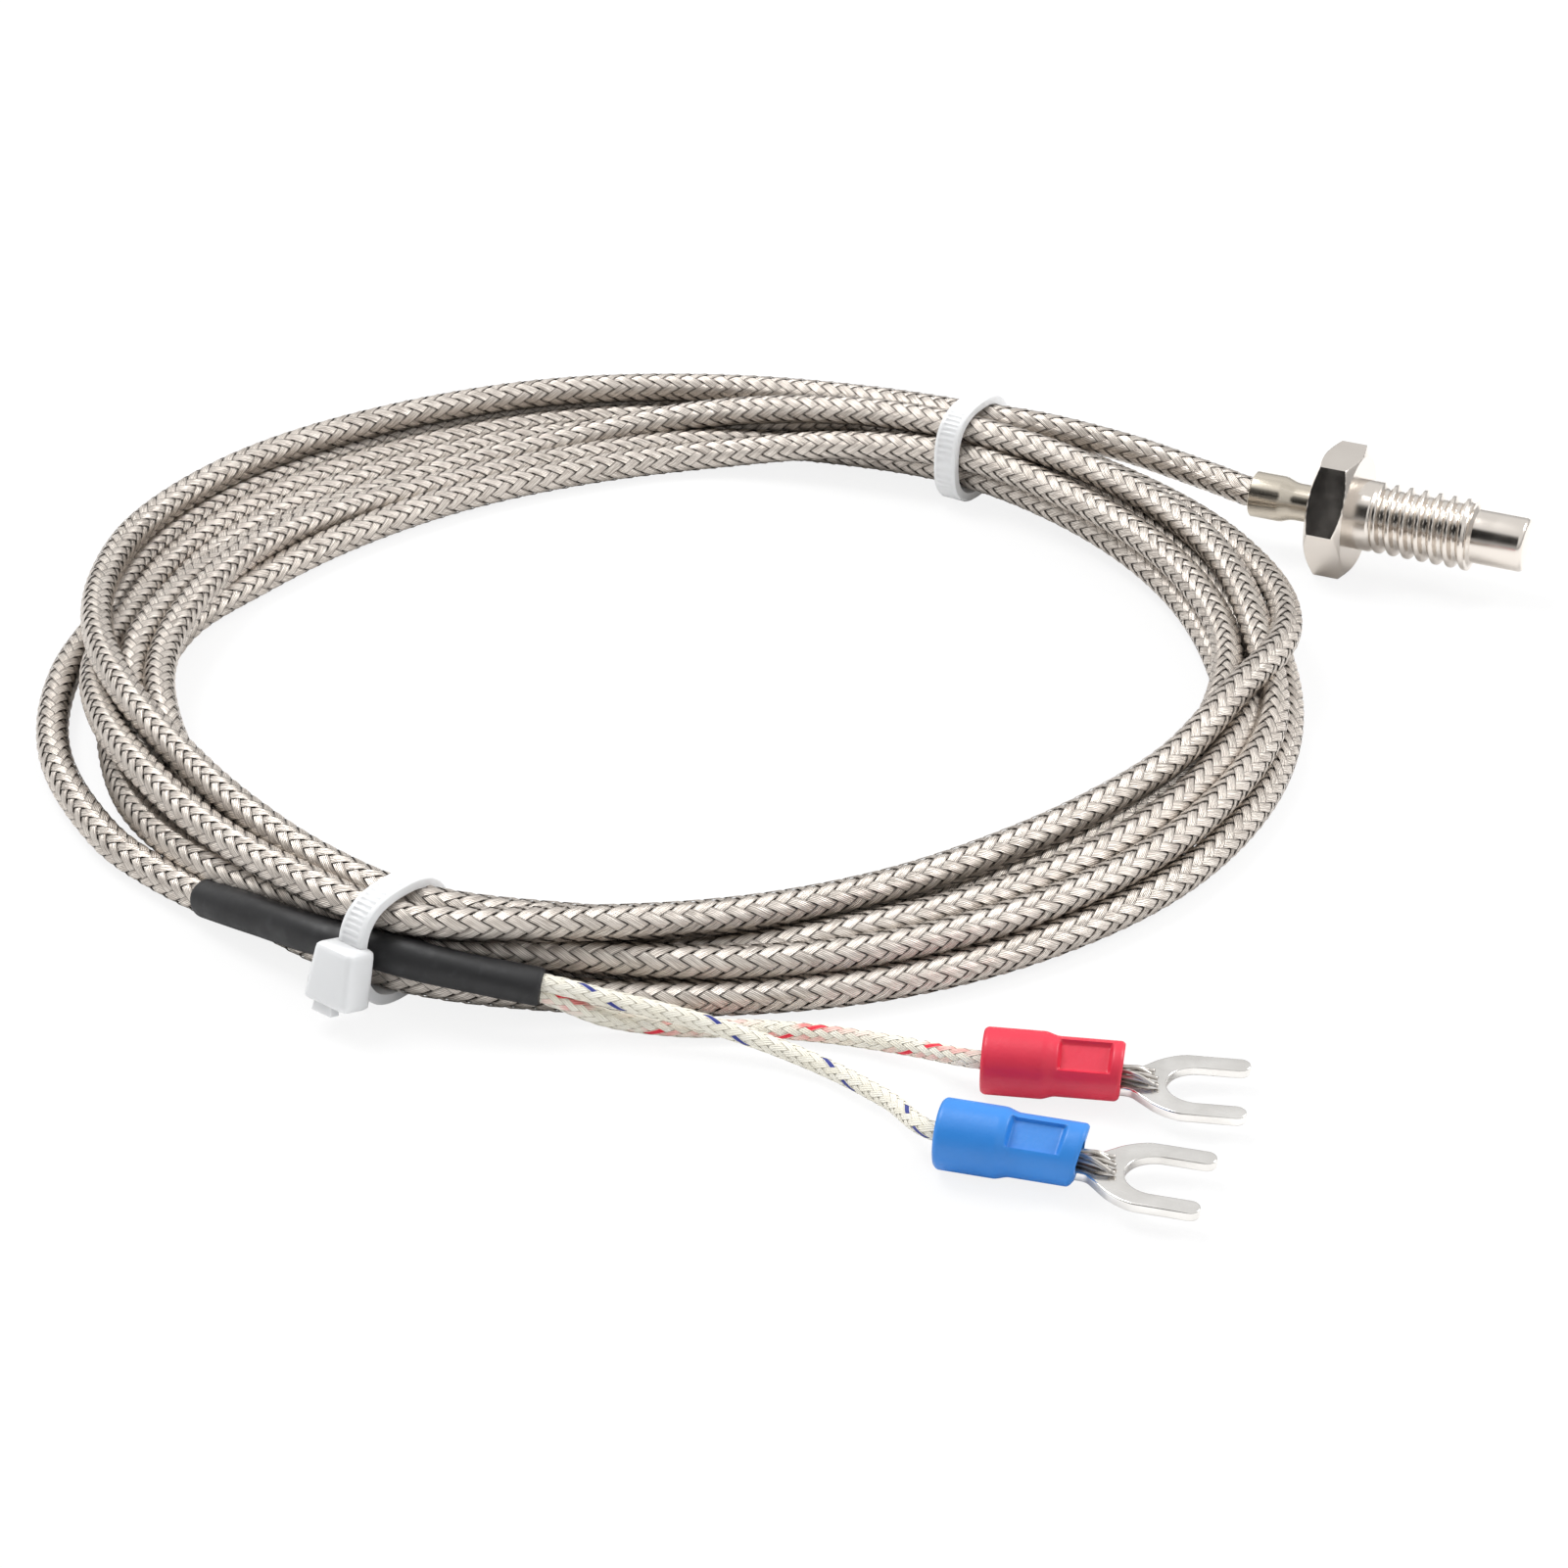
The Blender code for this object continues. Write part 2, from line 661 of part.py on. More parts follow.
def fork_outline():
    """The stamped fork seen from above, from its neck to the rounded tine ends."""
    neck = FORK_NECK_WIDTH / 2
    side = FORK_WIDTH / 2
    slot = FORK_SLOT / 2
    start = INSULATION_LENGTH + SEAT_GAP
    shoulder = INSULATION_LENGTH + FORK_SHOULDER
    tip = INSULATION_LENGTH + FORK_REACH
    tine = (side - slot) / 2
    tine_middle = (side + slot) / 2
    slot_centre = shoulder + slot
    lower = [(start, -neck), (INSULATION_LENGTH + neck, -neck), (shoulder, -side)]
    lower += arc((tip - tine, -tine_middle), tine, -90, 90, TINE_STEPS)
    slot_side = arc((slot_centre, 0.0), slot, 270, 90, 2 * TINE_STEPS)
    upper = arc((tip - tine, tine_middle), tine, -90, 90, TINE_STEPS)
    upper += [(shoulder, side), (INSULATION_LENGTH + neck, neck), (start, neck)]
    return lower + slot_side + upper


def make_fork(name, sleeve_diameter, material, frame):
    """Tinned copper fork, its tongue level with the underside of its crimped barrel."""
    axis_height = sleeve_diameter / 2
    underside = axis_height - BARREL_DIAMETER / 2
    data = bmesh.new()
    base = [data.verts.new((x, y, underside)) for x, y in fork_outline()]
    face = data.faces.new(base)
    grown = bmesh.ops.extrude_face_region(data, geom=[face])
    top = [item for item in grown["geom"] if isinstance(item, bmesh.types.BMVert)]
    bmesh.ops.translate(data, verts=top, vec=(0.0, 0.0, FORK_THICKNESS))
    fork = add_mesh(name, data, material, frame)
    outer = BARREL_DIAMETER / 2
    bore = BARREL_BORE / 2
    end = INSULATION_LENGTH + BARREL_OVERHANG
    stations = [(BARREL_START, outer), (end, outer), (end, bore), (BARREL_START, bore)]
    barrel_data = lathe_along_x(stations, TERMINAL_SEGMENTS)
    barrel = add_mesh(name + "_barrel", barrel_data, material, frame, (0.0, 0.0, axis_height))
    cut_with(fork, barrel, "UNION")
    cut_with(fork, barrel_bore_tool(name, axis_height, material, frame), "DIFFERENCE")
    return fork


def barrel_bore_tool(name, axis_height, material, frame):
    """A drill that keeps the barrel's bore open where the tongue's root meets it."""
    radius = BARREL_BORE / 2
    start = BARREL_START - SEAT_GAP
    end = INSULATION_LENGTH + BARREL_OVERHANG + SEAT_GAP
    stations = [(start, 0.0), (start, radius), (end, radius), (end, 0.0)]
    data = lathe_along_x(stations, TERMINAL_SEGMENTS)
    return add_mesh(name + "_bore_tool", data, material, frame, (0.0, 0.0, axis_height))


def make_wire_strands(name, sleeve_diameter, material, frame):
    """The lead's bare strands in the barrel, their ends resting above the tongue."""
    axis_height = sleeve_diameter / 2
    start = LEAD_INSERTION + SEAT_GAP
    end = INSULATION_LENGTH + BARREL_OVERHANG + STRAND_REACH
    points = [
        Vector((start, 0.0, axis_height)),
        Vector((BARREL_START, 0.0, axis_height)),
        Vector((end - 2 * STRAND_REACH, 0.0, axis_height)),
        Vector((end, 0.0, axis_height)),
    ]
    radius = STRAND_DIAMETER / 2
    return make_tube(name, smooth_route(points, STRAND_DIAMETER), (radius, radius), material, frame)


def make_tie_strap(opening):
    """The closed strap around an opening, in the plane y = 0, its lowest side on the floor."""
    half_width, half_height = opening[0] / 2, opening[1] / 2
    thick = STRAP_THICKNESS
    centre_height = FLOOR_GAP + thick + half_height
    inner = rounded_outline(half_width, half_height, TIE_STEPS, TIE_SQUARENESS)
    outer = rounded_outline(half_width + thick, half_height + thick, TIE_STEPS, TIE_SQUARENESS)
    data = bmesh.new()
    rings = []
    for (in_x, in_z), (out_x, out_z) in zip(inner, outer):
        corners = ((in_x, in_z, -1), (out_x, out_z, -1), (out_x, out_z, 1), (in_x, in_z, 1))
        ring = []
        for x, z, side in corners:
            ring.append(data.verts.new((x, side * STRAP_WIDTH / 2, centre_height + z)))
        rings.append(ring)
    join_rings(data, rings)
    return data


def make_tie_head():
    """The ratchet head, a block with bevelled edges around its own middle."""
    data = bmesh.new()
    bmesh.ops.create_cube(data, size=1.0)
    size = (TIE_HEAD_DEPTH, TIE_HEAD_WIDTH, TIE_HEAD_HEIGHT)
    bmesh.ops.scale(data, vec=size, verts=data.verts)
    edges = data.edges[:]
    bmesh.ops.bevel(data, geom=edges, offset=TIE_HEAD_BEVEL, segments=2, affect="EDGES")
    return data


def make_cable_tie(name, angle, skew, middle, opening, head_height, head_tilt, material, parent):
    """A nylon tie as one moulded piece: the closed strap and its ratchet head."""
    place = (middle * math.cos(angle), middle * math.sin(angle))
    frame = make_empty(name + "_frame", place, angle + skew)
    frame.parent = parent
    tie = add_mesh(name, make_tie_strap(opening), material, frame)
    reach = opening[0] / 2 + TIE_HEAD_STANDOFF + TIE_HEAD_DEPTH / 2
    head = add_mesh(name + "_head", make_tie_head(), material, frame, (reach, 0.0, head_height))
    head.rotation_euler = (0.0, head_tilt, 0.0)
    cut_with(tie, head, "UNION")
    return tie


def build():
    """Make every piece of the probe."""
    clear_scene()
    plated = make_material("plated_steel", (0.72, 0.69, 0.65), 0.25, 1.0)
    tube_steel = make_material("stainless_tube", (0.70, 0.66, 0.60), 0.22, 1.0)
    braid = make_material("steel_braid", (0.42, 0.38, 0.34), 0.45, 0.9)
    chromel = make_material("positive_alloy", (0.55, 0.53, 0.50), 0.35, 1.0)
    alumel = make_material("negative_alloy", (0.60, 0.58, 0.55), 0.35, 1.0)
    ceramic = make_material("alumina", (0.88, 0.86, 0.80), 0.6, 0.0)
    shrink = make_material("heat_shrink", (0.02, 0.02, 0.023), 0.4, 0.0)
    glass_braid = make_material("glass_fibre_braid", (0.85, 0.80, 0.68), 0.8, 0.0)
    red_vinyl = make_material("red_vinyl", (0.75, 0.02, 0.06), 0.4, 0.0)
    blue_vinyl = make_material("blue_vinyl", (0.02, 0.16, 0.70), 0.4, 0.0)
    tinned = make_material("tinned_copper", (0.75, 0.75, 0.75), 0.25, 1.0)
    bare_wire = make_material("bare_strands", (0.55, 0.52, 0.48), 0.35, 1.0)
    nylon = make_material("natural_nylon", (0.88, 0.89, 0.90), 0.45, 0.0)

    make_threaded_body(plated)
    make_crimp_sleeve(tube_steel)
    make_head_wire("positive_wire", 1, chromel)
    make_head_wire("negative_wire", -1, alumel)
    make_junction_bead(chromel)
    make_insulator(ceramic)

    coil_frame = make_empty("coil_frame", COIL_CENTRE, COIL_TURN)
    make_coil(braid, coil_frame)
    make_probe_tail(braid, coil_frame)
    make_outer_loop(braid, coil_frame)
    make_heat_shrink(shrink, coil_frame)
    make_cable_tie(
        "front_cable_tie",
        FRONT_TIE_ANGLE,
        FRONT_TIE_SKEW,
        FRONT_TIE_MIDDLE,
        FRONT_TIE_OPENING,
        FRONT_TIE_HEAD_HEIGHT,
        FRONT_TIE_HEAD_TILT,
        nylon,
        coil_frame,
    )
    make_cable_tie(
        "back_cable_tie",
        BACK_TIE_ANGLE,
        BACK_TIE_SKEW,
        BACK_TIE_MIDDLE,
        BACK_TIE_OPENING,
        BACK_TIE_HEAD_HEIGHT,
        BACK_TIE_HEAD_TILT,
        nylon,
        coil_frame,
    )

    terminals = (
        ("red", RED_TERMINAL_PLACE, RED_TERMINAL_TURN, RED_SLEEVE_DIAMETER, RED_LEAD_ROUTE, red_vinyl),
        (
            "blue",
            BLUE_TERMINAL_PLACE,
            BLUE_TERMINAL_TURN,
            BLUE_SLEEVE_DIAMETER,
            BLUE_LEAD_ROUTE,
            blue_vinyl,
        ),
    )
    for colour, place, turn, diameter, points, vinyl in terminals:
        frame = make_empty(colour + "_terminal_frame", place, turn)
        frame.parent = coil_frame
        make_insulating_sleeve(colour + "_insulating_sleeve", diameter, vinyl, frame)
        make_fork(colour + "_fork_terminal", diameter, tinned, frame)
        make_wire_strands(colour + "_wire_strands", diameter, bare_wire, frame)
        make_lead(
            colour + "_tracer_lead", points, place, turn, diameter / 2, glass_braid, coil_frame
        )


build()
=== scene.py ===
"""Looks of a screw-in thermocouple probe with a coiled, steel-braided cable.

Everything is in metres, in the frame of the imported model: +X along the probe head's axis,
+Z up, and the floor at z = 0. The coil and the terminals are laid out around the coil's
centre, in a frame turned 25 degrees about the vertical.
"""

import math

import bmesh
import bpy
import numpy as np
from mathutils import Matrix, Vector


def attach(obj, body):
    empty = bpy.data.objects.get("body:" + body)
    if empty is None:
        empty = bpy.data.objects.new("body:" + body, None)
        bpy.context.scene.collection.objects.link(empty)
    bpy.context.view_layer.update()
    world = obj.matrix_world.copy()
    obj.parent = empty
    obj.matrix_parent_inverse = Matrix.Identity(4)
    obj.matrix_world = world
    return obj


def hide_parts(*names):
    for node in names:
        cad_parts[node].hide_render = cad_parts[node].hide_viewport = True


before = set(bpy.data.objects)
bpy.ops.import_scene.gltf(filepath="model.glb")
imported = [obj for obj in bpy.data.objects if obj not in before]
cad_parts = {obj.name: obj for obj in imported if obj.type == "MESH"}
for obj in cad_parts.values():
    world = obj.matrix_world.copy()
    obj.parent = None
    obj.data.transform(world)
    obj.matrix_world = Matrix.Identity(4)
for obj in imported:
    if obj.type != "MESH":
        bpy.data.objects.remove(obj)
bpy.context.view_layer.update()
MM = 0.001

# Camera
# A long lens looks down on the coil at 29.5 degrees, square to it, as in the photograph.

COIL_CENTRE = Vector((-43.85 * MM, -44.01 * MM, 0.0))
COIL_TURN = math.radians(25)
COIL_FRAME = Matrix.Translation(COIL_CENTRE) @ Matrix.Rotation(COIL_TURN, 4, "Z")

CAMERA_PLACE = Vector((7.469 * MM, -285.319 * MM, 152.95 * MM))
CAMERA_TILT = math.radians(60.5)
CAMERA_LENS = 92.83

camera_data = bpy.data.cameras.new("camera")
camera_data.sensor_width = 36.0
camera_data.lens = CAMERA_LENS
camera_data.clip_start = 0.01
camera = bpy.data.objects.new("camera", camera_data)
camera.location = COIL_FRAME @ CAMERA_PLACE
camera.rotation_euler = (CAMERA_TILT, 0.0, COIL_TURN)
bpy.context.collection.objects.link(camera)
bpy.context.scene.camera = camera

# Braided cable
# Twin thermocouple wire in a braid of fine steel wire, sixteen flat ribbons of wire that
# pass over two and under two. It is one length of about 1.9 m, wound into six and a half
# turns that are packed tight under the two ties and spread between them.

CABLE_DIAMETER = 2.6 * MM
CABLE_LAY = 12.2 * MM
BRAID_CARRIERS = 8
BRAID_RISE = 0.08 * MM
WIRES_PER_RIBBON = 6
ANGLE_SCALE = 0.8
ROUTE_STEPS = 16
LIFT_SHARPNESS = 1.5
RIBBON_SEED_STEP = 17.0
GRAIN_SCALE = (9.0, 0.6)

# Where each strand lies at angles around the coil, as (radius, height) in millimetres.
# The letters are strands on the left of the coil, in the order that the turns take them.
TURN_ORDER = "AEDBCXL"
LEFT_SECTIONS = [
    (57, dict(A=(45.3, 6.9), L=(46.7, 4.75), X=(45.4, 2.5), B=(44.1, 4.75),
              D=(42.8, 2.5), C=(42.7, 6.8), E=(41.5, 4.75))),
    (72, dict(A=(47.6, 5.3), L=(49.0, 3.2), X=(46.7, 1.7), B=(45.6, 4.0),
              D=(43.6, 1.9), C=(43.6, 5.9), E=(41.3, 3.6))),
    (90, dict(A=(51.0, 3.9), L=(52.2, 1.5), X=(49.5, 1.5), B=(46.9, 1.4),
              D=(44.2, 1.5), C=(45.7, 3.6), E=(41.6, 1.5))),
    (105, dict(A=(52.0, 3.8), L=(53.1, 1.4), X=(50.4, 1.4), B=(47.7, 1.4),
              D=(42.7, 1.4), C=(45.2, 2.0), E=(40.0, 1.4))),
    (120, dict(A=(52.3, 3.8), L=(53.0, 1.4), X=(50.2, 1.4), B=(47.4, 1.4),
              D=(41.9, 1.5), C=(44.6, 1.4), E=(39.2, 1.4))),
    (140, dict(A=(52.6, 3.9), L=(52.5, 1.4), X=(49.7, 1.4), B=(46.9, 1.4),
              D=(41.5, 2.6), C=(44.2, 1.6), E=(39.2, 1.4))),
    (155, dict(A=(51.7, 4.0), L=(51.3, 1.4), X=(48.7, 1.4), B=(46.0, 1.4),
              D=(41.5, 3.5), C=(43.9, 2.4), E=(40.3, 1.4))),
    (167, dict(A=(49.5, 4.5), L=(49.4, 1.4), X=(47.1, 2.0), B=(44.9, 1.5),
              D=(41.4, 3.9), C=(43.7, 3.5), E=(42.3, 1.4))),
    (180, dict(A=(47.0, 5.4), L=(50.0, 1.4), X=(47.1, 3.0), B=(45.5, 1.5),
              D=(41.7, 4.0), C=(44.1, 3.8), E=(42.9, 1.4))),
    (195, dict(A=(44.6, 6.3), L=(50.4, 1.35), X=(46.5, 4.5), B=(45.9, 1.9),
              D=(42.0, 4.7), C=(44.0, 3.5), E=(43.0, 1.35))),
    (210, dict(A=(43.4, 6.5), X=(46.2, 5.6), B=(47.0, 2.4), D=(42.6, 4.0),
              C=(44.8, 3.2), E=(43.4, 1.35))),
    (225, dict(A=(44.3, 6.8), X=(46.9, 6.0), B=(47.5, 3.5), D=(43.8, 4.3),
              C=(46.5, 1.4), E=(43.9, 1.5))),
    (236, dict(A=(45.7, 6.8), X=(48.1, 6.5), B=(47.4, 4.1), D=(45.0, 4.4),
              C=(48.2, 1.6), E=(45.7, 1.9))),
    (247, dict(A=(47.0, 6.7), X=(49.5, 6.7), B=(48.1, 4.4), D=(46.3, 4.4),
              C=(49.7, 2.2), E=(47.1, 2.2))),
]
RIGHT_SECTIONS = [
    (262, dict(X=(46.3, 6.4), A=(43.9, 5.0), B=(46.5, 3.8), C=(47.9, 1.45),
              D=(43.4, 2.4), E=(45.3, 1.35))),
    (276, dict(X=(43.2, 5.4), A=(41.8, 3.2), B=(46.5, 3.4), C=(47.8, 1.4),
              D=(44.1, 3.0), E=(44.9, 1.35))),
    (290, dict(X=(41.4, 5.0), A=(41.1, 2.4), B=(46.5, 3.3), C=(48.0, 1.4),
              D=(44.0, 3.6), E=(45.1, 1.35))),
    (305, dict(X=(40.3, 4.8), A=(40.6, 2.2), B=(46.4, 3.3), C=(48.0, 1.4),
              D=(43.7, 3.5), E=(44.8, 1.35))),
    (318, dict(X=(40.5, 4.8), A=(40.8, 2.3), B=(46.4, 3.3), C=(48.1, 1.4),
              D=(43.8, 3.5), E=(44.8, 1.35))),
    (330, dict(X=(41.7, 5.1), A=(41.3, 2.6), B=(46.4, 3.4), C=(47.9, 1.4),
              D=(44.1, 3.6), E=(44.7, 1.35))),
    (345, dict(X=(43.5, 5.9), A=(42.0, 3.5), B=(46.6, 3.9), C=(47.6, 1.4),
              D=(44.6, 3.6), E=(43.9, 1.4))),
    (360, dict(X=(47.3, 5.6), A=(42.7, 4.0), B=(45.2, 5.0), C=(47.3, 1.5),
              D=(45.3, 2.6), E=(42.7, 1.45))),
    (380, dict(X=(47.8, 4.9), A=(42.1, 4.5), B=(45.2, 5.8), C=(47.1, 1.9),
              D=(44.7, 3.2), E=(42.3, 1.9))),
    (401, dict(X=(46.9, 4.7), A=(41.5, 4.7), B=(43.6, 6.6), C=(46.0, 2.3),
              D=(44.3, 4.3), E=(42.4, 2.3))),
]
TAIL_ROUTE = [
    (49.6, 25.4, 5.0),
    (47.4, 26.6, 5.0),
    (44.4, 29.4, 5.0),
    (41.2, 31.6, 5.3),
    (38.3, 33.0, 5.8),
    (34.6, 34.5, 6.3),
    (30.4, 35.9, 6.8),
]
OUTER_LOOP_ROUTE = [
    (-44.7, -22.4, 1.35),
    (-41.9, -26.9, 1.36),
    (-38.9, -30.3, 1.45),
    (-34.6, -34.6, 1.8),
    (-31.2, -38.0, 2.6),
]


def smooth_path(points, per_span):
    """Points on a smooth curve through the given ones, slowed by the length of each span."""
    places = np.array(points, float)
    count = len(places)
    path = []
    for index in range(count - 1):
        start, end = places[index], places[index + 1]
        before = places[max(index - 1, 0)]
        after = places[min(index + 2, count - 1)]
        span = np.linalg.norm(end - start)
        chord_in = np.linalg.norm(start - before) or span
        chord_out = np.linalg.norm(after - end) or span
        slope = (end - start) / span
        leave, arrive = slope, slope
        if index > 0:
            leave = ((start - before) / chord_in * span + slope * chord_in) / (chord_in + span)
        if index < count - 2:
            arrive = (slope * chord_out + (after - end) / chord_out * span) / (span + chord_out)
        for step in range(per_span):
            t = step / per_span
            path.append(
                start * (2 * t**3 - 3 * t**2 + 1)
                + leave * span * (t**3 - 2 * t**2 + t)
                + end * (3 * t**2 - 2 * t**3)
                + arrive * span * (t**3 - t**2)
            )
    path.append(places[-1])
    return np.array(path)


def evenly_spaced(path, spacing):
    """The same path with points a fixed distance apart."""
    lengths = np.concatenate([[0.0], np.cumsum(np.linalg.norm(np.diff(path, axis=0), axis=1))])
    count = max(2, int(round(lengths[-1] / spacing)))
    stations = np.linspace(0.0, lengths[-1], count + 1)
    return np.column_stack([np.interp(stations, lengths, path[:, axis]) for axis in range(3)])


def to_part(points):
    """Points of the coil's frame, in millimetres, as points of the part, in metres."""
    turn = np.array(COIL_FRAME.to_3x3())
    return np.array(points, float) * MM @ turn.T + np.array(COIL_CENTRE)


def polar(point):
    """Angle scaled to about the size of a millimetre, radius and height of a route point."""
    angle = math.degrees(math.atan2(point[1], point[0]))
    return (angle * ANGLE_SCALE, math.hypot(point[0], point[1]), point[2])


def cable_route():
    """The whole cable in the coil's frame, from inside the head's sleeve to the joint."""
    stations = [polar(point) for point in TAIL_ROUTE]
    for turn, strand in enumerate(TURN_ORDER):
        sections = LEFT_SECTIONS + RIGHT_SECTIONS
        for angle, places in sections:
            if strand in places:
                stations.append(((angle + 360 * turn) * ANGLE_SCALE, *places[strand]))
    last_turn = 360 * len(TURN_ORDER) * ANGLE_SCALE
    for point in OUTER_LOOP_ROUTE:
        angle, radius, height = polar(point)
        stations.append((angle + last_turn, radius, height))
    fine = smooth_path(stations, ROUTE_STEPS)
    angles = np.radians(fine[:, 0] / ANGLE_SCALE)
    return np.column_stack([fine[:, 1] * np.cos(angles), fine[:, 1] * np.sin(angles), fine[:, 2]])


def frames_along(path):
    """Tangent and two cross directions at each point, carried along without twist."""
    tangents = np.gradient(path, axis=0)
    tangents /= np.linalg.norm(tangents, axis=1)[:, None]
    side = np.cross(tangents[0], (0.0, 0.0, 1.0))
    side /= np.linalg.norm(side)
    sides = []
    for tangent in tangents:
        side = side - tangent * np.dot(side, tangent)
        side = side / np.linalg.norm(side)
        sides.append(side)
    sides = np.array(sides)
    return tangents, sides, np.cross(sides, tangents)


def tube_parts(path, radii, sides):
    """Points and faces of a closed tube. radii is a row of side radii for each path point."""
    tangents, across, up = frames_along(path)
    angles = 2 * np.pi * np.arange(sides) / sides
    ring = across[:, None, :] * np.cos(angles)[None, :, None]
    ring += up[:, None, :] * np.sin(angles)[None, :, None]
    points = path[:, None, :] + ring * np.broadcast_to(radii, (len(path), sides))[:, :, None]
    index = np.arange(len(path) * sides).reshape(len(path), sides)
    after = np.roll(index, -1, axis=1)
    quads = np.stack([index[:-1], index[1:], after[1:], after[:-1]], axis=-1).reshape(-1, 4)
    return points.reshape(-1, 3), quads.tolist() + [index[0].tolist(), index[-1][::-1].tolist()]


def tube_mesh(name, path, radii, sides):
    """A smooth closed tube along a path."""
    points, faces = tube_parts(path, radii, sides)
    mesh = bpy.data.meshes.new(name)
    mesh.from_pydata(points.tolist(), [], faces)
    mesh.shade_smooth()
    return mesh


def add_piece(name, mesh, material, slot, *nodes_replaced):
    """Link a mesh as a piece of the probe."""
    mesh.materials.append(material)
    piece = bpy.data.objects.new(name, mesh)
    bpy.context.collection.objects.link(piece)
    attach(piece, "root")
    if nodes_replaced:
        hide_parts(*nodes_replaced)
    return piece


def read_at(values, places):
    """Rows of an array at fractional places."""
    places = np.clip(places, 0, len(values) - 1)
    rows = np.arange(len(values))
    return np.column_stack([np.interp(places, rows, values[:, axis]) for axis in range(3)])


def ribbon_parts(path, diameter, lay, samples, width, rise, roll):
    """Flat ribbons of wire around a path, each over two of the others and under two.

    The path has a fixed number of samples in each lay. Half of the ribbons turn one way
    and half the other. The marks are the place in crossings along a ribbon, the share
    across it and its number, and the runs are the direction of its wires.
    """
    tangents, across, up = frames_along(path)
    slant = math.atan(math.pi * diameter / lay)
    stations = np.arange(len(path))
    lays = stations / samples
    crossings = 2 * BRAID_CARRIERS * lays
    points, marks, runs = [], [], []
    for way in (1, -1):
        for carrier in range(BRAID_CARRIERS):
            phase = 2 * carrier + 0.5 - way * crossings
            lift = way * np.clip(LIFT_SHARPNESS * np.sin(np.pi / 2 * phase), -1.0, 1.0)
            radius = diameter / 2 - rise * (1 - lift)
            turn = 2 * np.pi * ((carrier + 0.5) / BRAID_CARRIERS - way * lays) + roll
            number = carrier if way == 1 else carrier + BRAID_CARRIERS
            for edge in (-1, 0, 1):
                places = stations + way * edge * width / 2 * math.sin(slant) / lay * samples
                aside, above, forward = (read_at(values, places) for values in (across, up, tangents))
                angle = (turn + edge * width / 2 * math.cos(slant) / radius)[:, None]
                out = aside * np.cos(angle) + above * np.sin(angle)
                circle = above * np.cos(angle) - aside * np.sin(angle)
                reach = radius - abs(edge) * rise * 0.5
                points.append(read_at(path, places) + out * reach[:, None])
                runs.append(forward * math.cos(slant) - way * circle * math.sin(slant))
                share = np.full(len(stations), (edge + 1) / 2)
                marks.append(np.column_stack([phase, share, np.full(len(stations), number)]))
    count = len(stations)
    index = np.arange(len(points) * count).reshape(-1, 3, count)
    near, far = index[:, :-1], index[:, 1:]
    quads = np.stack([near[:, :, :-1], near[:, :, 1:], far[:, :, 1:], far[:, :, :-1]], axis=-1)
    return np.concatenate(points), quads.reshape(-1, 4), np.concatenate(marks), np.concatenate(runs)


def make_braided_cord(name, path, sizes, looks, slot, *nodes_replaced):
    """A cord in one mesh: a smooth core, and ribbons with "strand" and "run" attributes."""
    diameter, lay, samples, cover, rise, roll = sizes
    centres = path[::CORE_STEP]
    core_radius = np.full((len(centres), 1), diameter * CORE_SHARE / 2)
    core_points, core_faces = tube_parts(centres, core_radius, CORE_SIDES)
    width = braid_width(diameter, lay) * cover
    points, quads, marks, runs = ribbon_parts(path, diameter, lay, samples, width, rise, roll)
    mesh = bpy.data.meshes.new(name)
    everything = np.concatenate([core_points, points])
    mesh.from_pydata(everything.tolist(), [], core_faces + (quads + len(core_points)).tolist())
    for label, values in (("strand", marks), ("run", runs)):
        attribute = mesh.attributes.new(label, "FLOAT_VECTOR", "POINT")
        blank = np.zeros((len(core_points), 3))
        attribute.data.foreach_set("vector", np.concatenate([blank, values]).ravel())
    piece = add_piece(name, mesh, looks[0], slot, *nodes_replaced)
    mesh.materials.append(looks[1])
    places = np.concatenate([np.zeros(len(core_faces)), np.ones(len(quads))]).astype(int)
    mesh.polygons.foreach_set("material_index", places)
    mesh.shade_smooth()
    return piece, centres


def braid_width(diameter, lay):
    """The width at which a ribbon just covers its share of the cord."""
    slant = math.atan(math.pi * diameter / lay)
    return math.pi * diameter / BRAID_CARRIERS * math.cos(slant)


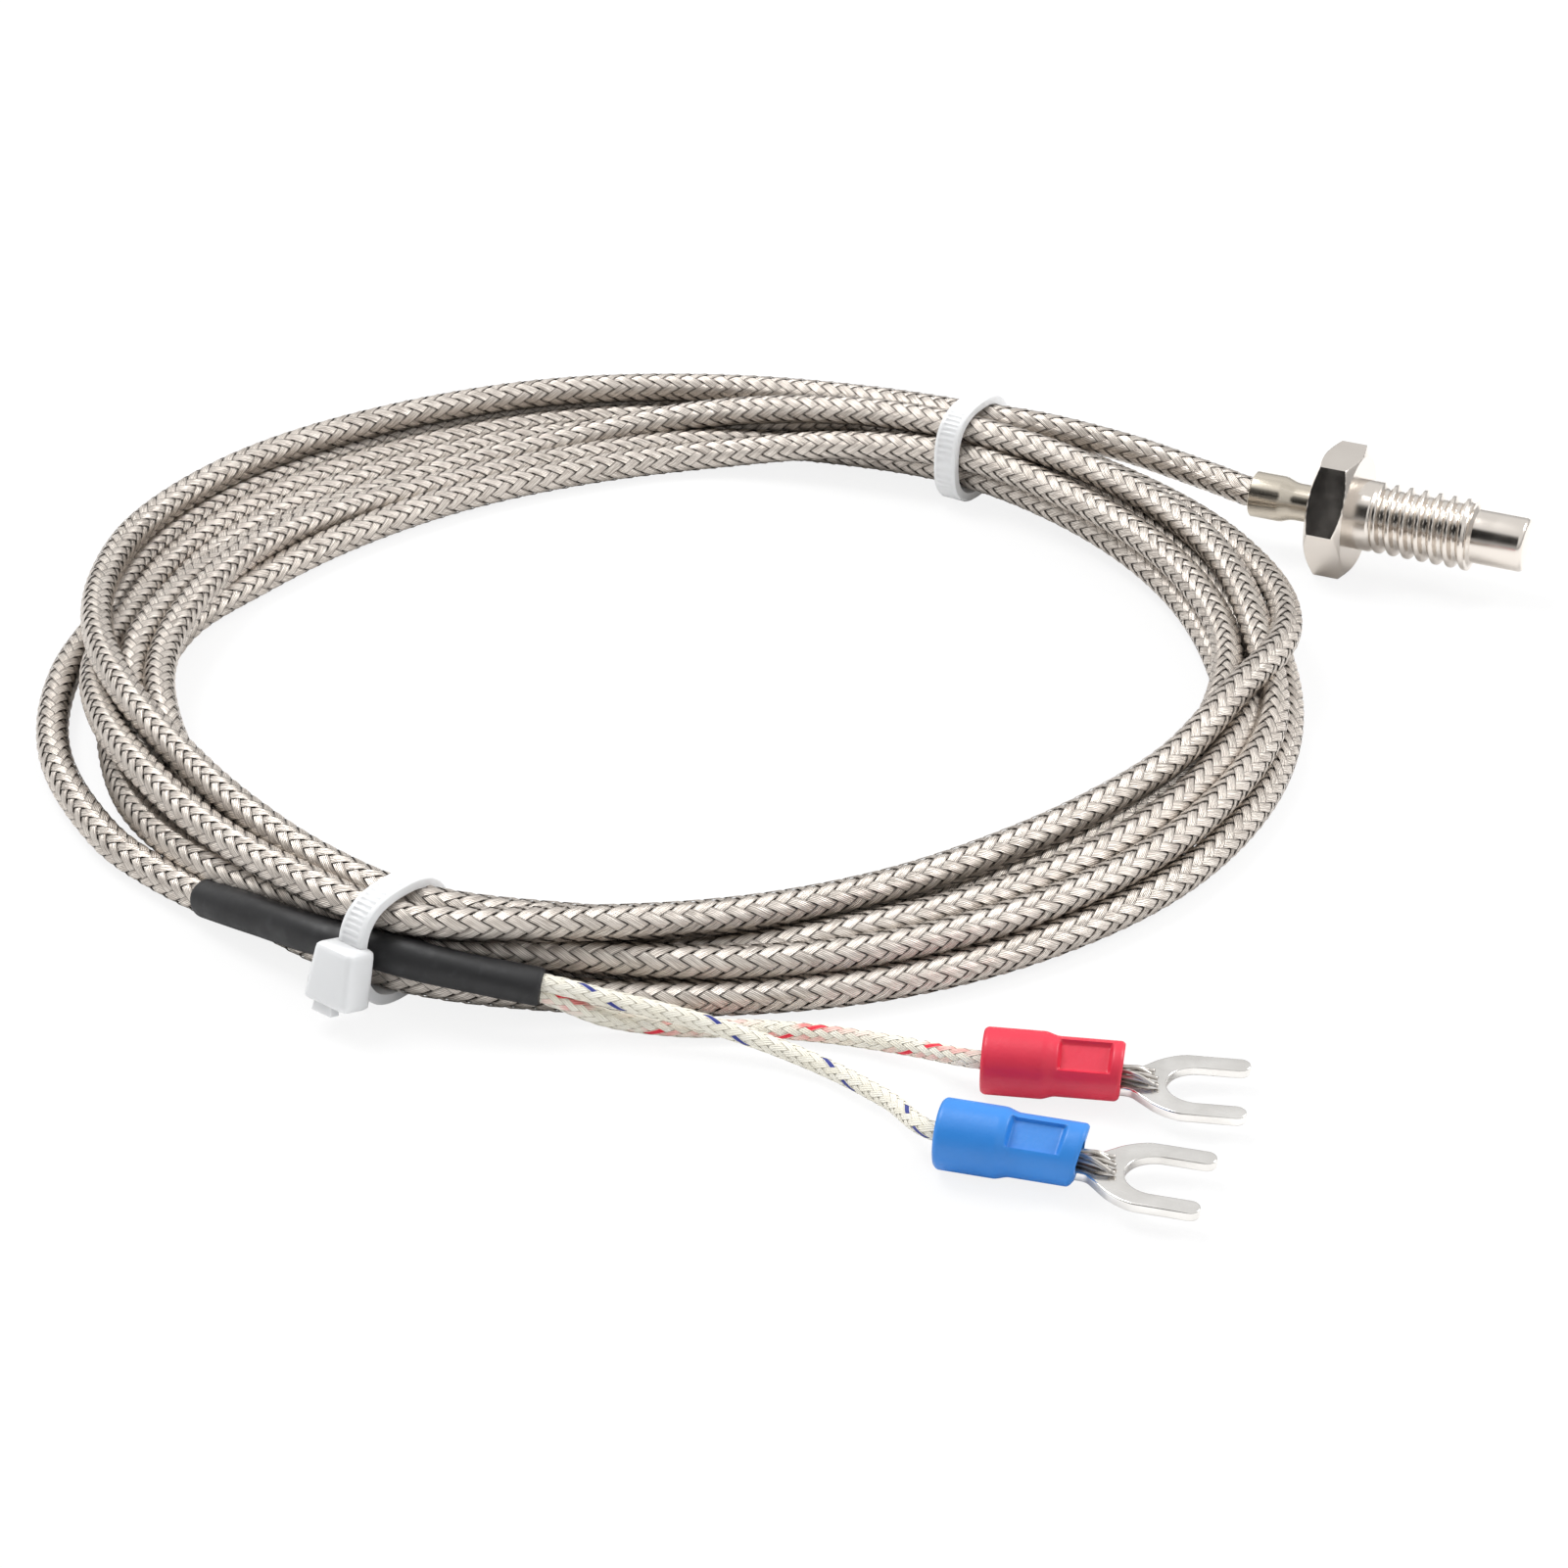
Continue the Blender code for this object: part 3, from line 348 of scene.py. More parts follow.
class Nodes:
    """Short ways to add and join shader nodes in one tree."""

    def __init__(self, tree):
        self.tree = tree

    def add(self, kind, **settings):
        node = self.tree.nodes.new(kind)
        for name, value in settings.items():
            setattr(node, name, value)
        return node

    def join(self, source, target):
        self.tree.links.new(source, target)

    def place(self):
        """The point in the piece's own space, in metres."""
        return self.add("ShaderNodeTexCoord").outputs["Object"]

    def put(self, socket, value):
        """Link a socket, or write a plain value."""
        if isinstance(value, bpy.types.NodeSocket):
            self.join(value, socket)
        else:
            socket.default_value = value

    def math(self, operation, *values):
        node = self.add("ShaderNodeMath", operation=operation)
        for index, value in enumerate(values):
            self.put(node.inputs[index], value)
        return node.outputs[0]

    def mix(self, share, first, second):
        node = self.add("ShaderNodeMix", data_type="RGBA")
        self.put(node.inputs[0], share)
        self.put(node.inputs[6], first)
        self.put(node.inputs[7], second)
        return node.outputs[2]

    def remap(self, value, low, high, to_low=0.0, to_high=1.0):
        node = self.add("ShaderNodeMapRange")
        for index, item in enumerate((value, low, high, to_low, to_high)):
            self.put(node.inputs[index], item)
        return node.outputs[0]

    def noise(self, vector, scale, detail=2.0):
        node = self.add("ShaderNodeTexNoise", noise_dimensions="3D")
        self.join(vector, node.inputs["Vector"])
        node.inputs["Scale"].default_value = scale
        node.inputs["Detail"].default_value = detail
        return node.outputs["Fac"]

    def bump(self, height, strength, distance, normal=None):
        node = self.add("ShaderNodeBump")
        self.put(node.inputs["Strength"], strength)
        self.put(node.inputs["Distance"], distance)
        self.join(height, node.inputs["Height"])
        if normal is not None:
            self.join(normal, node.inputs["Normal"])
        return node.outputs[0]


def new_material(name):
    """A material with a Principled shader, and the helper for its tree."""
    material = bpy.data.materials.new(name)
    material.use_nodes = True
    nodes = Nodes(material.node_tree)
    return material, material.node_tree.nodes["Principled BSDF"], nodes


def new_group(name, inputs, outputs):
    """An empty shader group with float, vector or colour sockets."""
    group = bpy.data.node_groups.new(name, "ShaderNodeTree")
    for label, kind in inputs:
        group.interface.new_socket(label, in_out="INPUT", socket_type=kind)
    for label, kind in outputs:
        group.interface.new_socket(label, in_out="OUTPUT", socket_type=kind)
    nodes = Nodes(group)
    return group, nodes, nodes.add("NodeGroupInput"), nodes.add("NodeGroupOutput")


def braid_group():
    """Masks of a braid ribbon from its "strand" attribute.

    Wire is the ripple of the single wires, Streak an uneven brightness along them, Edge
    the ribbon's two edges, Edge_distance 0 in its middle and 1 at an edge, Tint a value
    of its own for each float, and Number the ribbon's number.
    """
    labels = ("Wire", "Streak", "Edge", "Edge_distance", "Tint", "Number")
    outputs = [(label, "NodeSocketFloat") for label in labels]
    group, nodes, source, sink = new_group("braid", [("Wires", "NodeSocketFloat")], outputs)
    split = nodes.add("ShaderNodeSeparateXYZ")
    strand = nodes.add("ShaderNodeAttribute", attribute_name="strand")
    nodes.join(strand.outputs["Vector"], split.inputs[0])
    along, across, number = split.outputs
    wires = nodes.math("MULTIPLY", source.outputs["Wires"], math.pi)
    wire = nodes.math("ABSOLUTE", nodes.math("SINE", nodes.math("MULTIPLY", across, wires)))
    seed = nodes.add("ShaderNodeCombineXYZ")
    nodes.join(nodes.math("FLOOR", nodes.math("DIVIDE", along, 4.0)), seed.inputs[0])
    nodes.join(number, seed.inputs[1])
    tint = nodes.add("ShaderNodeTexWhiteNoise", noise_dimensions="3D")
    nodes.join(seed.outputs[0], tint.inputs[0])
    grain = nodes.add("ShaderNodeCombineXYZ")
    apart = nodes.math("MULTIPLY", number, RIBBON_SEED_STEP)
    nodes.join(nodes.math("MULTIPLY_ADD", across, GRAIN_SCALE[0], apart), grain.inputs[0])
    nodes.join(nodes.math("MULTIPLY", along, GRAIN_SCALE[1]), grain.inputs[1])
    off_middle = nodes.math("ABSOLUTE", nodes.math("MULTIPLY_ADD", across, 2.0, -1.0))
    nodes.join(wire, sink.inputs["Wire"])
    nodes.join(nodes.noise(grain.outputs[0], 1.0, 2.0), sink.inputs["Streak"])
    nodes.join(nodes.remap(off_middle, 0.72, 1.0), sink.inputs["Edge"])
    nodes.join(off_middle, sink.inputs["Edge_distance"])
    nodes.join(tint.outputs["Value"], sink.inputs["Tint"])
    nodes.join(number, sink.inputs["Number"])
    return group


BRAID = braid_group()


def use_braid(nodes, wires):
    """The braid group in a material's tree."""
    node = nodes.add("ShaderNodeGroup")
    node.node_tree = BRAID
    node.inputs["Wires"].default_value = wires
    return node.outputs


def steel_braid_material():
    """Fine steel wire, warm grey, that shines across the wires of each ribbon, with painted shade in the
    grooves between the wires and along each ribbon's edges.
    """
    material, shader, nodes = new_material("steel_braid")
    braid = use_braid(nodes, WIRES_PER_RIBBON)
    tint = nodes.mix(braid["Tint"], (0.46, 0.41, 0.365, 1), (0.70, 0.635, 0.575, 1))
    streaked = nodes.mix(nodes.remap(braid["Streak"], 0.42, 0.62), tint, (0.88, 0.82, 0.75, 1))
    # Painted shade: the grooves between the single wires are darkened towards near-black.
    groove = nodes.remap(braid["Wire"], 0.0, 0.6, 0.8, 0.0)
    groove_shaded = nodes.mix(groove, streaked, (0.15, 0.125, 0.105, 1))
    # Painted shade: each ribbon's two edges are darkened nearly to black, where it meets and dives under
    # the next ribbon.
    edge_shaded = nodes.mix(nodes.math("MULTIPLY", braid["Edge"], 0.9), groove_shaded, (0.06, 0.048, 0.04, 1))
    nodes.join(edge_shaded, shader.inputs["Base Color"])
    shader.inputs["Metallic"].default_value = 1.0
    shader.inputs["Roughness"].default_value = 0.36
    shader.inputs["Anisotropic"].default_value = 0.7
    run = nodes.add("ShaderNodeAttribute", attribute_name="run").outputs["Vector"]
    nodes.join(run, shader.inputs["Tangent"])
    nodes.join(nodes.bump(braid["Wire"], 1.0, 0.02 * MM), shader.inputs["Normal"])
    return material


def core_material(name, colour):
    """The plain core under a braid, which shows in its small holes. The steel cable's near-black core
    colour is painted shade.
    """
    material, shader, nodes = new_material(name)
    place = nodes.place()
    dim = (colour[0] * 0.5, colour[1] * 0.5, colour[2] * 0.5, 1)
    nodes.join(nodes.mix(nodes.noise(place, 800.0), dim, colour), shader.inputs["Base Color"])
    shader.inputs["Roughness"].default_value = 0.7
    return material


SAMPLES_PER_LAY = 16
BRAID_COVER = 0.93
CORE_SHARE = 0.88
CORE_STEP = 2
CORE_SIDES = 10

# The steel cable's core is near-black as painted shade, so the braid's small holes look dark.
cable_looks = (core_material("cable_core_painted_shade", (0.06, 0.048, 0.04, 1)), steel_braid_material())
cable, cable_path = make_braided_cord(
    "braided_cable",
    evenly_spaced(to_part(cable_route()), CABLE_LAY / SAMPLES_PER_LAY),
    (CABLE_DIAMETER, CABLE_LAY, SAMPLES_PER_LAY, BRAID_COVER, BRAID_RISE, 0.0),
    cable_looks,
    "steel_braid",
    "cable_coil",
    "probe_tail_cable",
    "outer_loop_cable",
)

# Heat-shrunk joint
# A black polyolefin tube shrunk over the place where the braid ends and the two leads
# begin. It shows the soft steps of what is under it, and its ends are cut square.

HEAT_SHRINK_DIAMETERS = (2.95 * MM, 2.7 * MM)
HEAT_SHRINK_LENGTH = 30.0 * MM
HEAT_SHRINK_STEP = 0.2 * MM
HEAT_SHRINK_LUMP = 0.035 * MM
LIP_DEPTH = 0.14 * MM
LIP_LENGTH = 0.25 * MM
HEAT_SHRINK_ROUTE = [
    (-34.4, -34.8, 1.8),
    (-29.9, -39.2, 2.9),
    (-24.9, -43.6, 3.9),
    (-20.8, -46.2, 4.4),
    (-17.0, -48.0, 4.4),
    (-12.8, -49.1, 4.0),
    (-9.2, -49.7, 3.5),
]


def heat_shrink_material():
    """Black polyolefin, satin, faintly dusty and uneven."""
    material, shader, nodes = new_material("heat_shrink")
    place = nodes.place()
    dust = nodes.remap(nodes.noise(place, 900.0, 4.0), 0.55, 0.8)
    black = nodes.mix(dust, (0.006, 0.006, 0.007, 1), (0.022, 0.022, 0.025, 1))
    nodes.join(black, shader.inputs["Base Color"])
    dull = nodes.remap(nodes.noise(place, 500.0), 0.3, 0.7, 0.48, 0.62)
    nodes.join(dull, shader.inputs["Roughness"])
    fine = nodes.bump(nodes.noise(place, 5000.0, 3.0), 0.4, 0.015 * MM)
    nodes.join(nodes.bump(nodes.noise(place, 420.0), 0.8, 0.14 * MM, fine), shader.inputs["Normal"])
    return material


def make_heat_shrink():
    """The tube, a little lumpy, with a rounded lip at each end."""
    path = evenly_spaced(to_part(smooth_path(HEAT_SHRINK_ROUTE, 20)), HEAT_SHRINK_STEP)
    share = np.linspace(0.0, 1.0, len(path))
    radius = (HEAT_SHRINK_DIAMETERS[0] * (1 - share) + HEAT_SHRINK_DIAMETERS[1] * share) / 2
    radius += HEAT_SHRINK_LUMP * np.sin(share * 17.0) * np.sin(share * 5.0 + 1.0)
    from_end = np.minimum(share, 1 - share) * HEAT_SHRINK_LENGTH
    radius -= LIP_DEPTH * np.clip(1 - from_end / LIP_LENGTH, 0.0, 1.0) ** 2
    sides = 40
    angles = 2 * np.pi * np.arange(sides) / sides
    lumps = HEAT_SHRINK_LUMP * np.sin(3 * angles[None, :] + 14 * share[:, None])
    mesh = tube_mesh("heat_shrink_joint", path, radius[:, None] + lumps, sides)
    mesh.set_sharp_from_angle(angle=math.radians(50))
    return add_piece("heat_shrink_joint", mesh, heat_shrink_material(), "heat_shrink", "heat_shrink_tube")


heat_shrink = make_heat_shrink()

# Leads
# Each bare wire has a sleeve of braided glass-fibre yarn, cream, with a coloured tracer
# thread in the braid: blue for one lead and red for the other. The red one has bled a
# little pink into the yarn around it.

LEAD_DIAMETER = 1.3 * MM
LEAD_LAY = 9.0 * MM
LEAD_RISE = 0.03 * MM
LEAD_SAMPLES_PER_LAY = 48
YARNS_PER_RIBBON = 3
TERMINALS = {
    "red": {
        "place": (20.9, -56.9),
        "turn": math.radians(-8.5),
        "diameter": 4.6 * MM,
        "dent": 6.85 * MM,
        "roll": 0.0,
        "slant": 0.08,
        "lead": [
            (-9.1, -49.6, 2.9),
            (-4.8, -50.1, 1.3),
            (0.0, -50.5, 0.75),
            (5.4, -50.6, 0.75),
            (10.8, -51.4, 0.75),
            (16.1, -53.6, 1.2),
        ],
    },
    "blue": {
        "place": (17.7, -65.7),
        "turn": math.radians(-16),
        "diameter": 4.8 * MM,
        "dent": 6.4 * MM,
        "roll": math.radians(45),
        "slant": 0.22,
        "lead": [
            (-9.0, -49.7, 3.9),
            (-4.7, -50.4, 3.1),
            (0.0, -51.4, 2.4),
            (5.9, -53.2, 1.4),
            (10.8, -56.1, 0.9),
            (14.3, -59.9, 1.2),
        ],
    },
}


def lead_material(name, tracer, tracer_ribbon, bleed):
    """Cream glass-fibre braid with one tracer thread, a stain around it, and painted shade along each
    ribbon's edges.
    """
    material, shader, nodes = new_material(name)
    braid = use_braid(nodes, YARNS_PER_RIBBON)
    yarn = nodes.mix(braid["Tint"], (0.90, 0.86, 0.73, 1), (0.96, 0.93, 0.83, 1))
    away = nodes.math("ABSOLUTE", nodes.math("SUBTRACT", braid["Number"], float(tracer_ribbon)))
    in_middle = nodes.remap(braid["Edge_distance"], 0.72, 0.62)
    dash = nodes.math("MULTIPLY", nodes.math("LESS_THAN", away, 0.5), in_middle)
    place = nodes.place()
    blotch = nodes.remap(nodes.noise(place, 260.0, 3.0), 0.42, 0.58)
    near = nodes.remap(away, 4.5, 0.5)
    stain = nodes.math("MULTIPLY", nodes.math("MULTIPLY", near, blotch), bleed)
    coloured = nodes.mix(dash, nodes.mix(stain, yarn, tracer), tracer)
    # Painted shade: the yarn is darkened to brown along each ribbon's two edges.
    painted_edge_shade = nodes.math("MULTIPLY", braid["Edge"], 0.5)
    nodes.join(nodes.mix(painted_edge_shade, coloured, (0.60, 0.53, 0.40, 1)), shader.inputs["Base Color"])
    shader.inputs["Roughness"].default_value = 0.62
    shader.inputs["Sheen Weight"].default_value = 0.15
    nodes.join(nodes.bump(braid["Wire"], 1.0, 0.04 * MM), shader.inputs["Normal"])
    return material


def make_lead(colour, material, core):
    """One lead from inside the heat-shrunk joint to inside its terminal's sleeve."""
    terminal = TERMINALS[colour]
    turn = terminal["turn"]
    x, y = terminal["place"]
    height = terminal["diameter"] / 2 / MM
    start = HEAT_SHRINK_ROUTE[-2]
    inside = [(start[0] + 1.5, start[1], (start[2] + terminal["lead"][0][2]) / 2)]
    ends = [(x + reach * math.cos(turn), y + reach * math.sin(turn), height) for reach in (0.0, 3.0)]
    route = to_part(smooth_path(inside + terminal["lead"] + ends, 24))
    fine = evenly_spaced(route, LEAD_LAY / LEAD_SAMPLES_PER_LAY)
    name = colour + "_tracer_lead"
    sizes = (LEAD_DIAMETER, LEAD_LAY, LEAD_SAMPLES_PER_LAY, 1.0, LEAD_RISE, terminal["roll"])
    return make_braided_cord(colour + "_lead", fine, sizes, (core, material), "lead_braid", name)


lead_looks = {
    "red": lead_material("red_tracer_yarn", (0.88, 0.018, 0.05, 1), 14, 0.8),
    "blue": lead_material("blue_tracer_yarn", (0.02, 0.035, 0.26, 1), 5, 0.0),
}
lead_core = core_material("lead_filler", (0.45, 0.40, 0.30, 1))
leads = {colour: make_lead(colour, lead_looks[colour], lead_core) for colour in TERMINALS}

# Probe head
# Turned from hexagonal steel bar and nickel plated: hexagon with chamfered corners, a
# cut thread and a plain dog point that holds the junction. A thin steel tube is crimped
# over the end of the braid and seated in the back of the hexagon.

HEX_ACROSS_FLATS = 10.0 * MM
AXIS_HEIGHT = HEX_ACROSS_FLATS / 2
HEX_BACK_X = -5.95 * MM
HEX_FRONT_X = -2.75 * MM
THREAD_START_X = -1.25 * MM
THREAD_END_X = 7.35 * MM
TIP_END_X = 11.95 * MM
THREAD_DIAMETER = 6.0 * MM
THREAD_PITCH = 1.25 * MM
THREAD_DEPTH = 0.5 * MM
TIP_DIAMETER = 4.55 * MM
SLEEVE_MOUTH_X = -11.95 * MM
TUBE_MOUTH_RADIUS = 1.95 * MM
TUBE_NECK_RADIUS = 1.6 * MM
TUBE_WALL = 0.22 * MM
TUBE_EDGE = 0.08 * MM
SEAT_DEPTH = 2.0 * MM
SEAT_RADIUS = 1.75 * MM
CHAMFER_INSET = 0.12 * MM
CHAMFER_STEPS = 8
STEPS_PER_PITCH = 28
RELIEF_DEPTH = 0.35 * MM
TIP_STEP = 0.25 * MM
TIP_ROUNDING = 0.45 * MM
LATHE_SEGMENTS = 180


def lathe(name, stations, segments, origin, smooth_angle=30.0):
    """A turned mesh along X from (x, radius) stations, radius a number or a function."""
    data = bmesh.new()
    rings = []
    for x, radius in stations:
        if not callable(radius) and radius == 0.0:
            rings.append([data.verts.new((x, 0.0, 0.0))])
            continue
        ring = []
        for step in range(segments):
            angle = 2 * math.pi * step / segments
            reach = radius(angle) if callable(radius) else radius
            ring.append(data.verts.new((x, reach * math.cos(angle), reach * math.sin(angle))))
        rings.append(ring)
    pairs = list(zip(rings, rings[1:]))
    if len(rings[0]) > 1 and len(rings[-1]) > 1:
        pairs.append((rings[-1], rings[0]))
    for first, second in pairs:
        for step in range(segments):
            after = (step + 1) % segments
            if len(first) == 1:
                data.faces.new((first[0], second[after], second[step]))
            elif len(second) == 1:
                data.faces.new((first[step], first[after], second[0]))
            else:
                data.faces.new((first[step], first[after], second[after], second[step]))
    bmesh.ops.recalc_face_normals(data, faces=data.faces)
    bmesh.ops.translate(data, verts=data.verts, vec=origin)
    mesh = bpy.data.meshes.new(name)
    data.to_mesh(mesh)
    data.free()
    mesh.shade_smooth()
    mesh.set_sharp_from_angle(angle=math.radians(smooth_angle))
    return mesh


def hexagon_radius(angle):
    """Distance from the axis to the hexagon, with a flat down and a flat up."""
    sixth = math.pi / 3
    from_flat = (angle % sixth) - sixth / 2
    return HEX_ACROSS_FLATS / 2 / math.cos(from_flat)


def thread_radius(x):
    """The thread's outline around the axis at one place along it."""
    run_in = (x - THREAD_START_X) / (0.7 * THREAD_PITCH)
    run_out = (THREAD_END_X - x) / (0.5 * THREAD_PITCH)
    fade = max(0.0, min(1.0, run_in, run_out))

    def radius(angle):
        phase = ((x - THREAD_START_X) / THREAD_PITCH - angle / (2 * math.pi)) % 1.0
        flank = abs(2 * phase - 1)
        groove = min(1.0, max(0.0, (0.84 - flank) / 0.62))
        soft = groove * groove * (3 - 2 * groove)
        return THREAD_DIAMETER / 2 - fade * THREAD_DEPTH * (0.35 * groove + 0.65 * soft)

    return radius


def body_stations():
    """Outline of the threaded body, from the hexagon's back face to the tip."""
    cone = math.tan(math.radians(30))
    corner = hexagon_radius(0.0)
    inner = HEX_ACROSS_FLATS / 2 - CHAMFER_INSET
    seat_end = HEX_BACK_X + SEAT_DEPTH
    stations = [(seat_end, 0.0), (seat_end, SEAT_RADIUS), (HEX_BACK_X, SEAT_RADIUS)]
    for step in range(CHAMFER_STEPS + 1):
        radius = inner + (corner - inner) * step / CHAMFER_STEPS
        x = HEX_BACK_X + (radius - inner) * cone
        stations.append((x, lambda angle, limit=radius: min(hexagon_radius(angle), limit)))
    for step in range(CHAMFER_STEPS, -1, -1):
        radius = inner + (corner - inner) * step / CHAMFER_STEPS
        x = HEX_FRONT_X - (radius - inner) * cone
        stations.append((x, lambda angle, limit=radius: min(hexagon_radius(angle), limit)))
    stations += [(HEX_FRONT_X, THREAD_DIAMETER / 2), (THREAD_START_X, THREAD_DIAMETER / 2)]
    steps = round((THREAD_END_X - THREAD_START_X) / THREAD_PITCH * STEPS_PER_PITCH)
    for step in range(1, steps):
        x = THREAD_START_X + (THREAD_END_X - THREAD_START_X) * step / steps
        stations.append((x, thread_radius(x)))
    root = THREAD_DIAMETER / 2 - RELIEF_DEPTH
    tip = TIP_DIAMETER / 2
    stations += [(THREAD_END_X, root), (THREAD_END_X + TIP_STEP, tip)]
    for step in range(7):
        angle = math.radians(90 * step / 6)
        x = TIP_END_X - TIP_ROUNDING + TIP_ROUNDING * math.sin(angle)
        stations.append((x, tip - TIP_ROUNDING + TIP_ROUNDING * math.cos(angle)))
    stations.append((TIP_END_X, 0.0))
    return stations


def stretched_noise(nodes, place, scale, detail):
    """Noise with a scale of its own along each axis, for marks that run one way."""
    stretch = nodes.add("ShaderNodeMapping")
    stretch.inputs["Scale"].default_value = scale
    nodes.join(place, stretch.inputs["Vector"])
    return nodes.noise(stretch.outputs[0], 1.0, detail)


def plated_material():
    """Bright nickel plating with faint turning marks, a little dull in the thread."""
    material, shader, nodes = new_material("nickel_plating")
    place = nodes.place()
    marks = stretched_noise(nodes, place, (9000.0, 300.0, 300.0), 3.0)
    cloud = nodes.noise(place, 350.0, 3.0)
    nickel = nodes.mix(cloud, (0.66, 0.605, 0.55, 1), (0.78, 0.73, 0.675, 1))
    nodes.join(nickel, shader.inputs["Base Color"])
    shader.inputs["Metallic"].default_value = 1.0
    nodes.join(nodes.remap(cloud, 0.3, 0.7, 0.16, 0.27), shader.inputs["Roughness"])
    nodes.join(nodes.bump(marks, 0.12, 0.01 * MM), shader.inputs["Normal"])
    return material


def tube_steel_material():
    """Drawn stainless tube, slightly warmer and streaked along its length."""
    material, shader, nodes = new_material("drawn_tube")
    place = nodes.place()
    streaks = stretched_noise(nodes, place, (150.0, 2500.0, 2500.0), 3.0)
    steel = nodes.mix(streaks, (0.50, 0.45, 0.37, 1), (0.70, 0.64, 0.55, 1))
    nodes.join(steel, shader.inputs["Base Color"])
    shader.inputs["Metallic"].default_value = 1.0
    nodes.join(nodes.remap(streaks, 0.3, 0.7, 0.14, 0.3), shader.inputs["Roughness"])
    nodes.join(nodes.bump(streaks, 0.2, 0.01 * MM), shader.inputs["Normal"])
    return material


def make_crimp_sleeve(material):
    """The tube, wide at its mouth over the braid and swaged to a narrower neck."""
    mouth, neck = TUBE_MOUTH_RADIUS, TUBE_NECK_RADIUS
    outer = [(SLEEVE_MOUTH_X, mouth - TUBE_EDGE), (SLEEVE_MOUTH_X + TUBE_EDGE, mouth)]
    outer += [
        (SLEEVE_MOUTH_X + 2.5 * MM, mouth),
        (SLEEVE_MOUTH_X + 2.8 * MM, mouth - 0.05 * MM),
        (SLEEVE_MOUTH_X + 3.5 * MM, neck + 0.05 * MM),
        (SLEEVE_MOUTH_X + 3.9 * MM, neck),
        (HEX_BACK_X + 1.9 * MM, neck),
    ]
    inner = [(x, radius - TUBE_WALL) for x, radius in reversed(outer)]
    mesh = lathe("sleeve", outer + inner, 72, (0.0, 0.0, AXIS_HEIGHT), 40.0)
    return add_piece("crimped_tube", mesh, material, "sleeve_tube", "crimp_sleeve")


body_mesh = lathe("body", body_stations(), LATHE_SEGMENTS, (0.0, 0.0, AXIS_HEIGHT), 24.0)
add_piece("threaded_probe_body", body_mesh, plated_material(), "plated_body", "threaded_body")
make_crimp_sleeve(tube_steel_material())

# Fork terminals
# Each terminal is a tinned copper fork whose rolled barrel is crimped on the lead's bare
# strands, in a vinyl sleeve that is wide where the lead goes in. The crimping tool has
# left a rectangular dent in the top of each sleeve.

INSULATION_LENGTH = 9.4 * MM
INSULATION_MOUTH_LENGTH = 4.0 * MM
FORK_WIDTH = 7.2 * MM
FORK_SLOT = 4.3 * MM
FORK_NECK = 2.3 * MM
FORK_INSIDE = 1.2 * MM
FORK_SHOULDER = 3.0 * MM
FORK_REACH = 8.4 * MM
FORK_THICKNESS = 0.7 * MM
BARREL_RADIUS = 1.25 * MM
BARREL_WALL = 0.35 * MM
BARREL_START = 4.6 * MM
BARREL_INSET = 0.7 * MM
STRAND_RADIUS = 0.15 * MM
STRANDS = 7
SLEEVE_BORE = 1.42 * MM
SLEEVE_WALL = 0.45 * MM
GRIP_STEP = 0.25 * MM
SHOULDER_LENGTH = 1.1 * MM
EDGE_DEPTH = 0.18 * MM
EDGE_LENGTH = 0.3 * MM
DENT_TILT = math.radians(28)
DENT_DEPTH = 0.62 * MM
DENT_HALF_SIZE = (1.62 * MM, 1.05 * MM)


def terminal_frame(colour):
    """The terminal's own frame: X from its mouth to its tines, at the floor."""
    terminal = TERMINALS[colour]
    x, y = terminal["place"]
    place = Matrix.Translation((x * MM, y * MM, 0.0))
    return COIL_FRAME @ place @ Matrix.Rotation(terminal["turn"], 4, "Z")


def vinyl_material(name, low, high):
    """Soft vinyl, glossy where it is stretched and finely grained."""
    material, shader, nodes = new_material(name)
    place = nodes.place()
    cloud = nodes.noise(place, 260.0, 4.0)
    nodes.join(nodes.mix(cloud, low, high), shader.inputs["Base Color"])
    nodes.join(nodes.remap(nodes.noise(place, 700.0), 0.3, 0.7, 0.38, 0.55), shader.inputs["Roughness"])
    shader.inputs["Coat Weight"].default_value = 0.15
    shader.inputs["Coat Roughness"].default_value = 0.25
    grain = nodes.bump(nodes.noise(place, 3200.0, 3.0), 0.6, 0.03 * MM)
    nodes.join(nodes.bump(nodes.noise(place, 600.0), 0.5, 0.05 * MM, grain), shader.inputs["Normal"])
    return material


